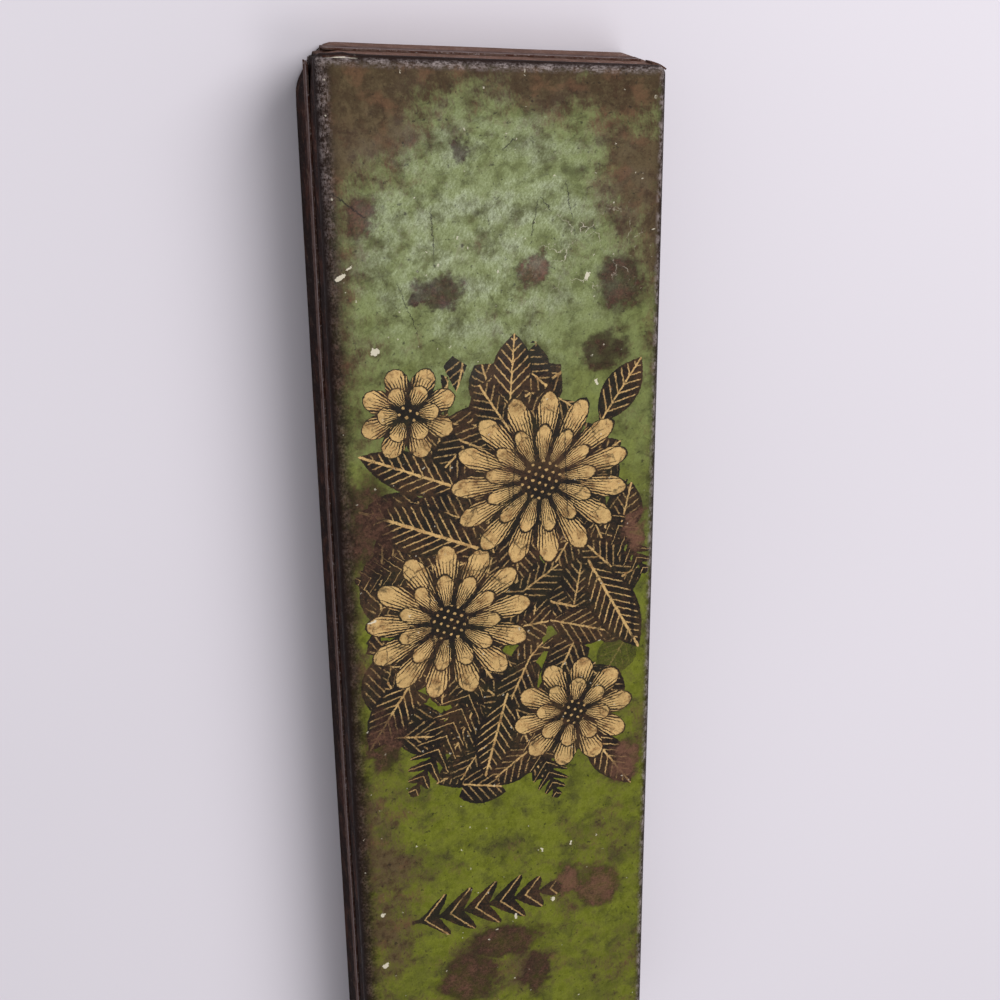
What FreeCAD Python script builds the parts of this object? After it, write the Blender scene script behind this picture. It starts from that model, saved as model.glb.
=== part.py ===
"""A flat pencil tin: a folded lid and a folded base of tinplate, joined by a two-station wire hinge.

The tin lies on its base with its lid up. X runs across the tin, with the hinge on +X, Y runs along it,
with the head end on +Y, and Z is up. The origin is the middle of the base's flat underside. Millimetres.
"""
import FreeCAD, Part
import os
import Sketcher

Vector = FreeCAD.Vector

SIZES = [
    # The tin as a whole: outside of the folded sheet, without hems and knuckles
    ("tin_length", "206"),
    ("tin_width", "57"),
    ("tin_height", "20"),
    ("sheet_thickness", "0.35"),
    ("corner_radius", "1.5"),
    ("bend_radius", "1.4"),
    # Where lid and base meet
    ("base_wall_height", "10.6"),
    ("seam_gap", "0.2"),
    # The lid's folded hem and the tabs that its ends lap over its sides
    ("hem_height", "3.5"),
    ("hem_edge_radius", "0.25"),
    ("hem_corner_gap", "1"),
    ("lid_lap_length", "6"),
    ("lid_lap_height", "3.4"),
    ("lid_lap_drop", "1.8"),
    # The tabs that the base's ends lap inside its sides
    ("base_lap_length", "6"),
    ("base_lap_drop", "0.6"),
    # The soldered strips that stand up inside the base and guide the lid
    ("neck_seat", "6"),
    ("neck_rise", "4.4"),
    ("neck_joggle", "0.8"),
    ("neck_clearance", "0.35"),
    ("neck_end_gap", "1.2"),
    # The wire hinge: two stations, each with one lid knuckle between two base knuckles
    ("hinge_inset", "41"),
    ("wire_radius", "0.7"),
    ("wire_clearance", "0.05"),
    ("wire_end", "0.6"),
    ("wire_chamfer", "0.2"),
    ("lid_knuckle_length", "10"),
    ("base_knuckle_length", "7"),
    ("knuckle_gap", "0.3"),
    ("knuckle_swing_gap", "0.3"),
    # How far a cut runs past the metal that it removes
    ("cut_overrun", "1"),
]

MATCH_TOLERANCE = 1e-4  # for finding an edge by its place

HALF_WIDTH = "(Sizes.tin_width / 2)"
HALF_LENGTH = "(Sizes.tin_length / 2)"
SHEET = "Sizes.sheet_thickness"
CORNER = "Sizes.corner_radius"
OUTER_CORNER = f"({CORNER} + {SHEET})"
INNER_CORNER = f"({CORNER} - {SHEET})"
INNER_WIDTH = f"({HALF_WIDTH} - {SHEET})"
INNER_LENGTH = f"({HALF_LENGTH} - {SHEET})"
LID_EDGE = "(Sizes.base_wall_height + Sizes.seam_gap)"
LAP_WIDTH = f"({HALF_WIDTH} + {SHEET})"
LAP_LENGTH = f"({HALF_LENGTH} + {SHEET})"
KNUCKLE_BORE = "(Sizes.wire_radius + Sizes.wire_clearance)"
KNUCKLE_OUTER = f"({KNUCKLE_BORE} + {SHEET})"
HINGE_X = f"({HALF_WIDTH} + {KNUCKLE_BORE})"
HINGE_Z = "(Sizes.base_wall_height + Sizes.seam_gap / 2)"
LID_KNUCKLE_END = "(Sizes.lid_knuckle_length / 2)"
BASE_KNUCKLE_START = f"({LID_KNUCKLE_END} + Sizes.knuckle_gap)"
BASE_KNUCKLE_END = f"({BASE_KNUCKLE_START} + Sizes.base_knuckle_length)"
WIRE_END = f"({BASE_KNUCKLE_END} + Sizes.wire_end)"
STATION_END = f"({WIRE_END} + Sizes.knuckle_gap)"
STATION = f"({HALF_LENGTH} - Sizes.hinge_inset)"

doc = FreeCAD.newDocument("PencilTin")
sheet = doc.addObject("Spreadsheet::Sheet", "Sizes")
for row, (alias, number) in enumerate(SIZES, start=1):
    sheet.set(f"A{row}", alias)
    sheet.set(f"B{row}", number)
    sheet.setAlias(f"B{row}", alias)
doc.recompute()


def value(expression):
    """The number that an expression on the sheet gives now."""
    return float(sheet.evalExpression(expression))


def new_body(label):
    """An empty body whose label names its node."""
    body = doc.addObject("PartDesign::Body", label)
    body.Label = label
    return body


def new_sketch(body, name, role, offset):
    """A sketch on one of the body's own origin planes, moved along that plane's normal."""
    sketch = body.newObject("Sketcher::SketchObject", name)
    planes = [item for item in body.Origin.OriginFeatures if item.Role == role]
    sketch.AttachmentSupport = [(planes[0], "")]
    sketch.MapMode = "FlatFace"
    sketch.setExpression("AttachmentOffset.Base.z", offset)
    return sketch


def bind_point(sketch, geometry, end, across, up):
    """Hold one end of a sketch line at a place given by two expressions."""
    for kind, expression in (("DistanceX", across), ("DistanceY", up)):
        index = sketch.addConstraint(
            Sketcher.Constraint(kind, -1, 1, geometry, end, value(expression))
        )
        sketch.setExpression(f"Constraints[{index}]", expression)


def outline(body, name, role, offset, corners):
    """A closed outline of straight lines through corners, each given by two expressions."""
    sketch = new_sketch(body, name, role, offset)
    points = [Vector(value(across), value(up), 0) for across, up in corners]
    count = len(points)
    for index in range(count):
        sketch.addGeometry(Part.LineSegment(points[index], points[(index + 1) % count]))
    for index in range(count):
        sketch.addConstraint(Sketcher.Constraint("Coincident", index, 2, (index + 1) % count, 1))
        bind_point(sketch, index, 1, *corners[index])
    return sketch


def rectangle(body, name, offset, x_low, x_high, y_low, y_high):
    """A level rectangle between four expressions."""
    corners = [(x_low, y_low), (x_high, y_low), (x_high, y_high), (x_low, y_high)]
    return outline(body, name, "XY_Plane", offset, corners)


def add_rounded_rectangle(sketch, half_width, half_length, radius):
    """Add to a level sketch a rectangle about the tin's middle, with its corners rounded by arcs."""
    across = value(half_width)
    along = value(half_length)
    turn = value(radius)
    quarter = FreeCAD.Units.Quantity("90 deg").getValueAs("rad").Value
    straight = [
        (Vector(turn - across, -along, 0), Vector(across - turn, -along, 0)),
        (Vector(across, turn - along, 0), Vector(across, along - turn, 0)),
        (Vector(across - turn, along, 0), Vector(turn - across, along, 0)),
        (Vector(-across, along - turn, 0), Vector(-across, turn - along, 0)),
    ]
    middles = [
        Vector(across - turn, turn - along, 0),
        Vector(across - turn, along - turn, 0),
        Vector(turn - across, along - turn, 0),
        Vector(turn - across, turn - along, 0),
    ]
    lines = []
    arcs = []
    for side in range(4):
        lines.append(sketch.addGeometry(Part.LineSegment(*straight[side])))
        corner = Part.Circle(middles[side], Vector(0, 0, 1), turn)
        arcs.append(sketch.addGeometry(Part.ArcOfCircle(corner, (side - 1) * quarter, side * quarter)))
    for side in range(4):
        sketch.addConstraint(Sketcher.Constraint("Tangent", lines[side], 2, arcs[side], 1))
        sketch.addConstraint(Sketcher.Constraint("Tangent", arcs[side], 2, lines[(side + 1) % 4], 1))
        sketch.addConstraint(Sketcher.Constraint(("Horizontal", "Vertical")[side % 2], lines[side]))
    for arc in arcs[1:]:
        sketch.addConstraint(Sketcher.Constraint("Equal", arcs[0], arc))
    number = sketch.addConstraint(Sketcher.Constraint("Radius", arcs[0], turn))
    sketch.setExpression(f"Constraints[{number}]", radius)
    reaches = (f"-{half_length}", half_width, half_length, f"-{half_width}")
    for side, reach in enumerate(reaches):
        kind = ("DistanceY", "DistanceX")[side % 2]
        number = sketch.addConstraint(Sketcher.Constraint(kind, -1, 1, lines[side], 1, value(reach)))
        sketch.setExpression(f"Constraints[{number}]", reach)


def block_outline(body, name, offset):
    """The tin's own outline, seen from above."""
    sketch = new_sketch(body, name, "XY_Plane", offset)
    add_rounded_rectangle(sketch, HALF_WIDTH, HALF_LENGTH, CORNER)
    return sketch


def band_outline(body, name, offset, half_width, half_length):
    """A ring that takes in the lid's skirt and one more layer of sheet outside it."""
    sketch = new_sketch(body, name, "XY_Plane", offset)
    add_rounded_rectangle(sketch, half_width, half_length, OUTER_CORNER)
    add_rounded_rectangle(sketch, INNER_WIDTH, INNER_LENGTH, INNER_CORNER)
    return sketch


def pad(body, name, sketch, length, flip=False, both_ways=False):
    """Metal along the sketch's normal, or against it, or half each way."""
    feature = body.newObject("PartDesign::Pad", name)
    feature.Profile = sketch
    feature.Reversed = flip
    feature.SideType = "Symmetric" if both_ways else "One side"
    feature.setExpression("Length", length)
    doc.recompute()
    return feature


def pocket(body, name, sketch, depth, upward=False):
    """A cut below a level sketch, or above it, that has to take metal away."""
    before = body.Shape.Volume
    feature = body.newObject("PartDesign::Pocket", name)
    feature.Profile = sketch
    feature.Reversed = upward
    feature.setExpression("Length", depth)
    doc.recompute()
    if not feature.Shape.Volume < before:
        raise RuntimeError(f"{name} cuts nothing")
    return feature


def close(first, second):
    """Whether two lengths are the same."""
    return abs(first - second) < MATCH_TOLERANCE


def level_faces(shape, height):
    """The flat faces of a shape that lie at a height, each with its number."""
    level = value(height)
    boxes = [(number, face, face.BoundBox) for number, face in enumerate(shape.Faces, start=1)]
    return [
        (number, face)
        for number, face, box in boxes
        if close(box.ZMin, level) and close(box.ZMax, level)
    ]


def fillet(body, name, radius, wanted):
    """A fillet along the wanted edges of the body as it stands."""
    base = body.Tip
    edges = [
        f"Edge{number}"
        for number, edge in enumerate(base.Shape.Edges, start=1)
        if any(edge.isSame(other) for other in wanted)
    ]
    feature = body.newObject("PartDesign::Fillet", name)
    feature.Base = (base, edges)
    feature.setExpression("Radius", radius)
    doc.recompute()
    return feature


def rounded(body, name, radius, height):
    """A fillet round the outer rim of the body's level face at a height."""
    rims = []
    for number, face in level_faces(body.Tip.Shape, height):
        rims += face.OuterWire.Edges
    return fillet(body, name, radius, rims)


def hem_folds(shape):
    """The hem's lower outer edges, one along each side of the lid."""
    folds = []
    for edge in shape.Edges:
        box = edge.BoundBox
        at_edge = close(box.ZMin, value(LID_EDGE)) and close(box.ZMax, value(LID_EDGE))
        along_side = close(box.XLength, 0) and close(abs(box.XMin), value(LAP_WIDTH))
        along_end = close(box.YLength, 0) and close(abs(box.YMin), value(LAP_LENGTH))
        if at_edge and (along_side or along_end):
            folds.append(edge)
    return folds


def hollowed(body, name, height):
    """The block made a shell of one sheet's thickness, open at the level face at a height."""
    base = body.Tip
    feature = body.newObject("PartDesign::Thickness", name)
    feature.Base = (base, [f"Face{number}" for number, face in level_faces(base.Shape, height)])
    feature.Reversed = True
    feature.setExpression("Value", SHEET)
    doc.recompute()
    return feature


def mirror_stations(body, name, originals):
    """The same features at the other hinge station, across the tin's middle."""
    feature = body.newObject("PartDesign::Mirrored", name)
    feature.Originals = originals
    planes = [item for item in body.Origin.OriginFeatures if item.Role == "XZ_Plane"]
    feature.MirrorPlane = (planes[0], [""])
    body.Tip = feature
    doc.recompute()
    return feature


def curl(body, name, y_low, length, turned_up):
    """A knuckle: the wall's sheet carried on three quarters of the way round the hinge wire.

    The lid's sheet comes down to the wire and passes under it, the base's comes up and passes over it.
    """
    sketch = new_sketch(body, f"{name}Outline", "XZ_Plane", f"-({y_low})")
    side = -1 if turned_up else 1
    root = f"({HINGE_Z} + {side} * {KNUCKLE_OUTER})"
    middle = Vector(value(HINGE_X), value(HINGE_Z), 0)
    bore = value(KNUCKLE_BORE)
    outer = value(KNUCKLE_OUTER)
    outer_x = f"({HINGE_X} - {KNUCKLE_OUTER})"
    bore_x = f"({HINGE_X} - {KNUCKLE_BORE})"
    half_turn = FreeCAD.Units.Quantity("180 deg").getValueAs("rad").Value
    start, stop = (-half_turn / 2, half_turn) if turned_up else (half_turn, half_turn * 5 / 2)
    wall_end, free_end = (2, 1) if turned_up else (1, 2)

    def arc(radius):
        return Part.ArcOfCircle(Part.Circle(middle, Vector(0, 0, 1), radius), start, stop)

    outer_arc = sketch.addGeometry(arc(outer))
    bore_arc = sketch.addGeometry(arc(bore))
    outer_foot = Vector(value(outer_x), middle.y, 0)
    bore_foot = Vector(value(bore_x), middle.y, 0)
    rise = Vector(0, side * outer, 0)
    outer_wall = sketch.addGeometry(Part.LineSegment(outer_foot, outer_foot + rise))
    root_line = sketch.addGeometry(Part.LineSegment(outer_foot + rise, bore_foot + rise))
    bore_wall = sketch.addGeometry(Part.LineSegment(bore_foot + rise, bore_foot))
    free_edge = sketch.addGeometry(
        Part.LineSegment(middle + Vector(0, side * outer, 0), middle + Vector(0, side * bore, 0))
    )
    joints = [
        (outer_arc, wall_end, outer_wall, 1),
        (outer_wall, 2, root_line, 1),
        (root_line, 2, bore_wall, 1),
        (bore_wall, 2, bore_arc, wall_end),
        (outer_arc, free_end, free_edge, 1),
        (bore_arc, free_end, free_edge, 2),
        (outer_arc, 3, bore_arc, 3),
    ]
    for joint in joints:
        sketch.addConstraint(Sketcher.Constraint("Coincident", *joint))
    bind_point(sketch, outer_arc, 3, HINGE_X, HINGE_Z)
    bind_point(sketch, outer_wall, 1, outer_x, HINGE_Z)
    bind_point(sketch, outer_wall, 2, outer_x, root)
    bind_point(sketch, bore_wall, 1, bore_x, root)
    bind_point(sketch, bore_wall, 2, bore_x, HINGE_Z)
    sketch.addConstraint(Sketcher.Constraint("Vertical", free_edge))
    sketch.addConstraint(Sketcher.Constraint("PointOnObject", outer_arc, 3, free_edge))
    return pad(body, name, sketch, length, flip=True)


def make_lid():
    """The lid: one blank folded down on four sides, with a hem turned out along the skirt's edge."""
    body = new_body("lid_cover")
    blank = block_outline(body, "LidBlank", LID_EDGE)
    pad(body, "LidBlock", blank, f"Sizes.tin_height - {LID_EDGE}")
    rounded(body, "LidBend", "Sizes.bend_radius", "Sizes.tin_height")
    hollowed(body, "LidShell", LID_EDGE)
    across = f"({HALF_WIDTH} - {CORNER} - Sizes.hem_corner_gap)"
    along = f"({HALF_LENGTH} - {CORNER} - Sizes.hem_corner_gap)"
    for side, left, right, low, high in (
        ("Front", f"-{LAP_WIDTH}", f"-{INNER_WIDTH}", f"-{along}", along),
        ("Hinge", INNER_WIDTH, LAP_WIDTH, f"-{along}", along),
        ("Head", f"-{across}", across, INNER_LENGTH, LAP_LENGTH),
        ("Foot", f"-{across}", across, f"-{LAP_LENGTH}", f"-{INNER_LENGTH}"),
    ):
        hem = rectangle(body, f"{side}HemOutline", LID_EDGE, left, right, low, high)
        pad(body, f"{side}Hem", hem, "Sizes.hem_height")
    folds = hem_folds(body.Tip.Shape)
    fillet(body, "HemFold", "Sizes.hem_edge_radius", folds)

    lap_foot = "(Sizes.tin_height - Sizes.lid_lap_drop - Sizes.lid_lap_height)"
    lap_start = f"({HALF_LENGTH} - Sizes.lid_lap_length)"
    lap = band_outline(body, "LapOutline", lap_foot, LAP_WIDTH, HALF_LENGTH)
    pad(body, "LapBand", lap, "Sizes.lid_lap_height")
    beyond = f"({LAP_WIDTH} + Sizes.cut_overrun)"
    for side, low, high in (("Front", f"-{beyond}", f"-{HALF_WIDTH}"), ("Hinge", HALF_WIDTH, beyond)):
        trim = rectangle(body, f"{side}LapTrim", lap_foot, low, high, f"-{lap_start}", lap_start)
        pocket(body, f"{side}LapEnds", trim, "Sizes.lid_lap_height", upward=True)

    gap = rectangle(
        body,
        "HemGapOutline",
        LID_EDGE,
        HALF_WIDTH,
        f"{LAP_WIDTH} + Sizes.cut_overrun",
        f"{STATION} - {STATION_END}",
        f"{STATION} + {STATION_END}",
    )
    features = [pocket(body, "HemGap", gap, "Sizes.hem_height", upward=True)]
    notch_top = f"{HINGE_Z} + {KNUCKLE_OUTER} + Sizes.knuckle_swing_gap"
    notch_end = f"({BASE_KNUCKLE_END} + Sizes.knuckle_gap)"
    for side, low, high in (
        ("Near", f"-{notch_end}", f"-{LID_KNUCKLE_END}"),
        ("Far", LID_KNUCKLE_END, notch_end),
    ):
        notch = rectangle(
            body,
            f"{side}NotchOutline",
            LID_EDGE,
            f"{INNER_WIDTH} - Sizes.cut_overrun",
            f"{HALF_WIDTH} + Sizes.cut_overrun",
            f"{STATION} + {low}",
            f"{STATION} + {high}",
        )
        features.append(pocket(body, f"{side}Notch", notch, f"{notch_top} - {LID_EDGE}", upward=True))
    knuckle = curl(
        body, "LidKnuckle", f"{STATION} - {LID_KNUCKLE_END}", "Sizes.lid_knuckle_length", turned_up=False
    )
    mirror_stations(body, "LidStations", features + [knuckle])
    return body


def make_base():
    """The base: one blank folded up on four sides, with tabs lapped inside the corners."""
    body = new_body("base_tray")
    blank = block_outline(body, "BaseBlank", "0")
    pad(body, "BaseBlock", blank, "Sizes.base_wall_height")
    rounded(body, "BaseBend", "Sizes.bend_radius", "0")
    hollowed(body, "BaseShell", "Sizes.base_wall_height")

    lap_inside = f"({INNER_WIDTH} - {SHEET})"
    lap_start = f"({INNER_LENGTH} - Sizes.base_lap_length)"
    lap_height = "Sizes.base_wall_height - Sizes.base_lap_drop - Sizes.bend_radius"
    for end, low, high in (
        ("Head", lap_start, INNER_LENGTH),
        ("Foot", f"-{INNER_LENGTH}", f"-{lap_start}"),
    ):
        for side, left, right in (
            ("Front", f"-{INNER_WIDTH}", f"-{lap_inside}"),
            ("Hinge", lap_inside, INNER_WIDTH),
        ):
            lap = rectangle(body, f"{end}{side}TabOutline", "Sizes.bend_radius", left, right, low, high)
            pad(body, f"{end}{side}Tab", lap, lap_height)

    notch_depth = f"Sizes.base_wall_height - {HINGE_Z} + {KNUCKLE_OUTER} + Sizes.knuckle_swing_gap"
    notch = rectangle(
        body,
        "LidKnuckleNotchOutline",
        "Sizes.base_wall_height",
        f"{INNER_WIDTH} - Sizes.cut_overrun",
        f"{HALF_WIDTH} + Sizes.cut_overrun",
        f"{STATION} - {BASE_KNUCKLE_START}",
        f"{STATION} + {BASE_KNUCKLE_START}",
    )
    features = [pocket(body, "LidKnuckleNotch", notch, notch_depth)]
    for side, low in (("Near", f"-{BASE_KNUCKLE_END}"), ("Far", BASE_KNUCKLE_START)):
        features.append(
            curl(body, f"{side}Knuckle", f"{STATION} + {low}", "Sizes.base_knuckle_length", turned_up=True)
        )
    mirror_stations(body, "BaseStations", features)
    return body


def neck_corners(wall, sign):
    """A strip's section: soldered flat inside the wall, then stepped in to clear the lid's skirt."""
    seat = "(Sizes.base_wall_height - Sizes.neck_seat)"
    step = "(Sizes.base_wall_height - Sizes.neck_joggle)"
    edge = "Sizes.base_wall_height"
    top = "(Sizes.base_wall_height + Sizes.neck_rise)"
    inward = "Sizes.neck_clearance"
    section = [
        ("0", seat),
        ("0", step),
        (inward, edge),
        (inward, top),
        (f"({inward} + {SHEET})", top),
        (f"({inward} + {SHEET})", edge),
        (SHEET, step),
        (SHEET, seat),
    ]
    return [(f"{sign} * ({wall} - {depth})", height) for depth, height in section]


def make_neck(label, role, wall, sign, length):
    """A strip of tinplate along the middle of one wall."""
    body = new_body(label)
    section = outline(body, f"{label}_section", role, "0", neck_corners(wall, sign))
    pad(body, f"{label}_strip", section, length, both_ways=True)
    return body


def make_necks():
    """The three strips that guide the lid: along the front wall and across both ends."""
    long_run = f"2 * ({INNER_LENGTH} - Sizes.base_lap_length - Sizes.neck_end_gap)"
    short_run = f"2 * ({INNER_WIDTH} - {SHEET} - Sizes.neck_end_gap)"
    return [
        make_neck("front_neck_strip", "XZ_Plane", INNER_WIDTH, "-1", long_run),
        make_neck("head_neck_strip", "YZ_Plane", INNER_LENGTH, "1", short_run),
        make_neck("foot_neck_strip", "YZ_Plane", INNER_LENGTH, "-1", short_run),
    ]


def make_wire(label, sign):
    """A hinge wire, cut a little longer than its station's knuckles."""
    body = new_body(label)
    sketch = new_sketch(body, f"{label}_section", "XZ_Plane", f"-1 * {sign} * {STATION}")
    middle = Vector(value(HINGE_X), value(HINGE_Z), 0)
    circle = sketch.addGeometry(Part.Circle(middle, Vector(0, 0, 1), value("Sizes.wire_radius")))
    bind_point(sketch, circle, 3, HINGE_X, HINGE_Z)
    index = sketch.addConstraint(Sketcher.Constraint("Radius", circle, value("Sizes.wire_radius")))
    sketch.setExpression(f"Constraints[{index}]", "Sizes.wire_radius")
    rod = pad(body, f"{label}_rod", sketch, f"2 * {WIRE_END}", both_ways=True)
    rims = [f"Edge{index}" for index, edge in enumerate(rod.Shape.Edges, start=1) if edge.isClosed()]
    ends = body.newObject("PartDesign::Chamfer", f"{label}_ends")
    ends.Base = (rod, rims)
    ends.setExpression("Size", "Sizes.wire_chamfer")
    doc.recompute()
    return body


bodies = [make_lid(), make_base()]
bodies += make_necks()
bodies += [make_wire("head_hinge_wire", "1"), make_wire("foot_hinge_wire", "-1")]
doc.recompute()

for item in doc.Objects:
    if "Invalid" in item.State or "Error" in item.State:
        raise RuntimeError(f"{item.Name} failed: {item.State}")
for body in bodies:
    if body.Shape.isNull() or not body.Shape.isValid():
        raise RuntimeError(f"{body.Label} has no valid shape")
    if len(body.Shape.Solids) != 1:
        raise RuntimeError(f"{body.Label} has {len(body.Shape.Solids)} solids")

os.makedirs("parts", exist_ok=True)
for body in bodies:
    body.Shape.exportStep(os.path.join("parts", f"{body.Label}.step"))
    box = body.Shape.BoundBox
    print(
        body.Label,
        f"volume {body.Shape.Volume:.1f}",
        f"X {box.XMin:.2f} {box.XMax:.2f} Y {box.YMin:.2f} {box.YMax:.2f} Z {box.ZMin:.2f} {box.ZMax:.2f}",
    )
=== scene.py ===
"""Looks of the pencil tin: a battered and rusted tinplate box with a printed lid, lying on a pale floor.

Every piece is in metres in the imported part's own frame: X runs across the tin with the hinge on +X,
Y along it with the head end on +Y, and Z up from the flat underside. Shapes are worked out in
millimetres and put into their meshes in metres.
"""

import math
from types import SimpleNamespace

import bpy
import numpy as np
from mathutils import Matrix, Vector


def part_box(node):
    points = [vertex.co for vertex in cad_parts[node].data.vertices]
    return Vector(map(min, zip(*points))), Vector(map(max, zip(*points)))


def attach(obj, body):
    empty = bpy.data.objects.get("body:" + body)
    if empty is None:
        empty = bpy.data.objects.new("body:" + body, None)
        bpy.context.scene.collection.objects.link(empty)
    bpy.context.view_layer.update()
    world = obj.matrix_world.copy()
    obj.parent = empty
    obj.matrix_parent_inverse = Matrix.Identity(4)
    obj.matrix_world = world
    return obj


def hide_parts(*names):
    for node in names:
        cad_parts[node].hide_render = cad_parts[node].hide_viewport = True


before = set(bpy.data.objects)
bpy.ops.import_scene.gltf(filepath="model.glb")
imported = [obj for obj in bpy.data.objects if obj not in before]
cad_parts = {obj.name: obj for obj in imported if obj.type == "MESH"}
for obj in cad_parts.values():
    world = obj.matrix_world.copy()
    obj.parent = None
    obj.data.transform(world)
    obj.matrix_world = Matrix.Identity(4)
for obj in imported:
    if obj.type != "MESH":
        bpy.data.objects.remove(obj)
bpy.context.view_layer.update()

bl_info = {
    "name": "Pencil tin",
    "version": (1, 0, 0),
    "blender": (4, 5, 0),
    "location": "3D View > Sidebar > Pencil tin",
    "description": "Builds a worn, printed tinplate pencil tin round its packed parts",
    "category": "Object",
}

MM = 0.001
LID_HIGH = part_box("lid_cover")[1]
BASE_LOW, BASE_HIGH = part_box("base_tray")
WIRE_LOW, WIRE_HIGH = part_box("head_hinge_wire")

# Grid steps, in millimetres or in counts
LONG_STEP = 1.3
CROSS_STEP = 1.1
CORNER_STEPS = 7
BEND_STEPS = 7
CURL_STEPS = 14
WELD = 1e-4

# Gaps between the sheet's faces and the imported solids', across and up, in millimetres
INSET = 0.025
LIFT = 0.01
# Radius of the hem's fold, and a distance out of any reach, in millimetres
HEM_FOLD = 0.175
FAR = 1e3
# Heights of the skirt's rows of points between its bend and the hinge notches, in millimetres
SKIRT_ROWS = (17.4, 16.2, 15.2, 14.3, 13.2)
# Neck strip, in millimetres: the wall that it stands against, and how far in it lies below and above its step
NECK_WALL = 0.35
NECK_BELOW = 0.16
NECK_ABOVE = 0.52

# Tabs inside the base: foot, top, reach along the side, and how far they lie inside the wall
BASE_TAB = (1.8, 10.0, 6.35, 0.36)

# Stage: half the floor's side and the camera's place in metres, its lens in millimetres, its turn in degrees
FLOOR_REACH = 3.0
CAMERA_PLACE = (-0.06776, 0.13226, 0.26206)
CAMERA_LENS = 57.1
CAMERA_TURN = (-22.655, -15.592, -0.72)
WORLD_COLOUR = (1.0, 0.98, 0.98, 1.0)
WORLD_STRENGTH = 0.5
LAMP_COLOUR = (1.0, 0.97, 0.95)
# Lamps: name, place, aim, width and power
LAMPS = (
    ("key", (0.40, 0.46, 0.66), (0.0, 0.02, 0.01), 0.5, 5.2),
    ("sheen", (0.20, -0.09, 0.88), (0.0, 0.07, 0.02), 0.35, 1.6),
)

# Slots of a sheet's mesh: each finish has an outside, an inside and a raw edge
# The last slot is painted light: a bright strip that shows through the torn corner
PRINT, SIDE, HEM, SLIT_LIGHT = 0, 3, 6, 9


def linear(red, green, blue):
    """Screen colour from 0 to 255 as scene linear numbers."""
    shares = [value / 255 for value in (red, green, blue)]
    return [share / 12.92 if share < 0.04045 else ((share + 0.055) / 1.055) ** 2.4 for share in shares]


def length(name, description, default):
    """A size that a user may change."""
    return bpy.props.FloatProperty(
        name=name, description=description, default=default, unit="LENGTH", precision=5
    )


def paint(name, description, red, green, blue):
    """A colour that a user may change."""
    return bpy.props.FloatVectorProperty(
        name=name,
        description=description,
        default=linear(red, green, blue),
        size=3,
        min=0.0,
        max=1.0,
        subtype="COLOR",
    )


class TinSizes(bpy.types.PropertyGroup):
    """Sizes of the sheet metal."""

    half_width: length("Half width", "From the middle to a long wall's outside", -BASE_LOW.x)
    half_length: length("Half length", "From the middle to an end wall's outside", BASE_HIGH.y)
    height: length("Height", "From the floor to the lid's top", LID_HIGH.z)
    sheet: length("Sheet", "Thickness of the tinplate", 0.3 * MM)
    bend: length("Bend", "Radius of the folds, in the middle of the sheet", 1.3 * MM)
    lid_edge: length("Lid edge", "Height of the lid's lower edge", 10.8 * MM)
    base_edge: length("Base edge", "Height of the base's upper edge", 10.6 * MM)
    hem_height: length("Hem height", "How far the hem is folded back up", 3.5 * MM)
    hem_gap: length("Hem gap", "From a wall's outside to where the hem of its neighbour starts", 2.5 * MM)
    lap_reach: length("Lap reach", "How far the lid's corner tabs reach along the sides", 6.0 * MM)
    lap_top: length("Lap top", "Height of the corner tabs' upper edge", 18.2 * MM)
    lap_foot: length("Lap foot", "Height of the corner tabs' lower edge", 14.8 * MM)
    hinge_x: length("Hinge across", "Place of the hinge wire across the tin", (WIRE_LOW.x + WIRE_HIGH.x) / 2)
    hinge_z: length("Hinge height", "Height of the hinge wire", (WIRE_LOW.z + WIRE_HIGH.z) / 2)
    station: length("Station", "From the middle to a hinge station", (WIRE_LOW.y + WIRE_HIGH.y) / 2)
    lid_knuckle: length("Lid knuckle", "Half the length of the lid's knuckle", 5.0 * MM)
    base_knuckle_start: length("Base knuckle start", "Where a base knuckle starts from its station", 5.3 * MM)
    base_knuckle_end: length("Base knuckle end", "Where a base knuckle ends from its station", 12.3 * MM)
    lid_notch_end: length("Lid notch end", "Where the lid's notch ends from its station", 12.6 * MM)
    hem_stop: length("Hem stop", "Where the hem stops at a station", 13.2 * MM)
    lid_notch_top: length("Lid notch top", "Height of the lid's notches over the base knuckles", 12.1 * MM)
    base_notch_foot: length("Base notch foot", "Height of the base's notches under lid knuckles", 9.3 * MM)
    neck_foot: length("Neck foot", "Height of the neck strips' lower edge", 4.6 * MM)
    neck_top: length("Neck top", "Height of the neck strips' upper edge", 15.0 * MM)
    rack_start: length("Rack start", "Where the skew of the head end starts along the tin", 75.0 * MM)


class TinWear(bpy.types.PropertyGroup):
    """How far the tin is knocked about."""

    crush: length("Crush", "Legs of the base's crushed corner", 5.5 * MM)
    tear: length("Tear", "How far the fold is torn open from the head's front corner", 6.0 * MM)
    rack: length("Rack", "How far the head end is knocked out of square at the hinge side", 4.5 * MM)
    barrel: length("Barrel", "How far the front wall pulls in towards its ends", 0.28 * MM)
    dent: length("Dent", "Depth of the lid's shallow dents", 0.16 * MM)


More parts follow.
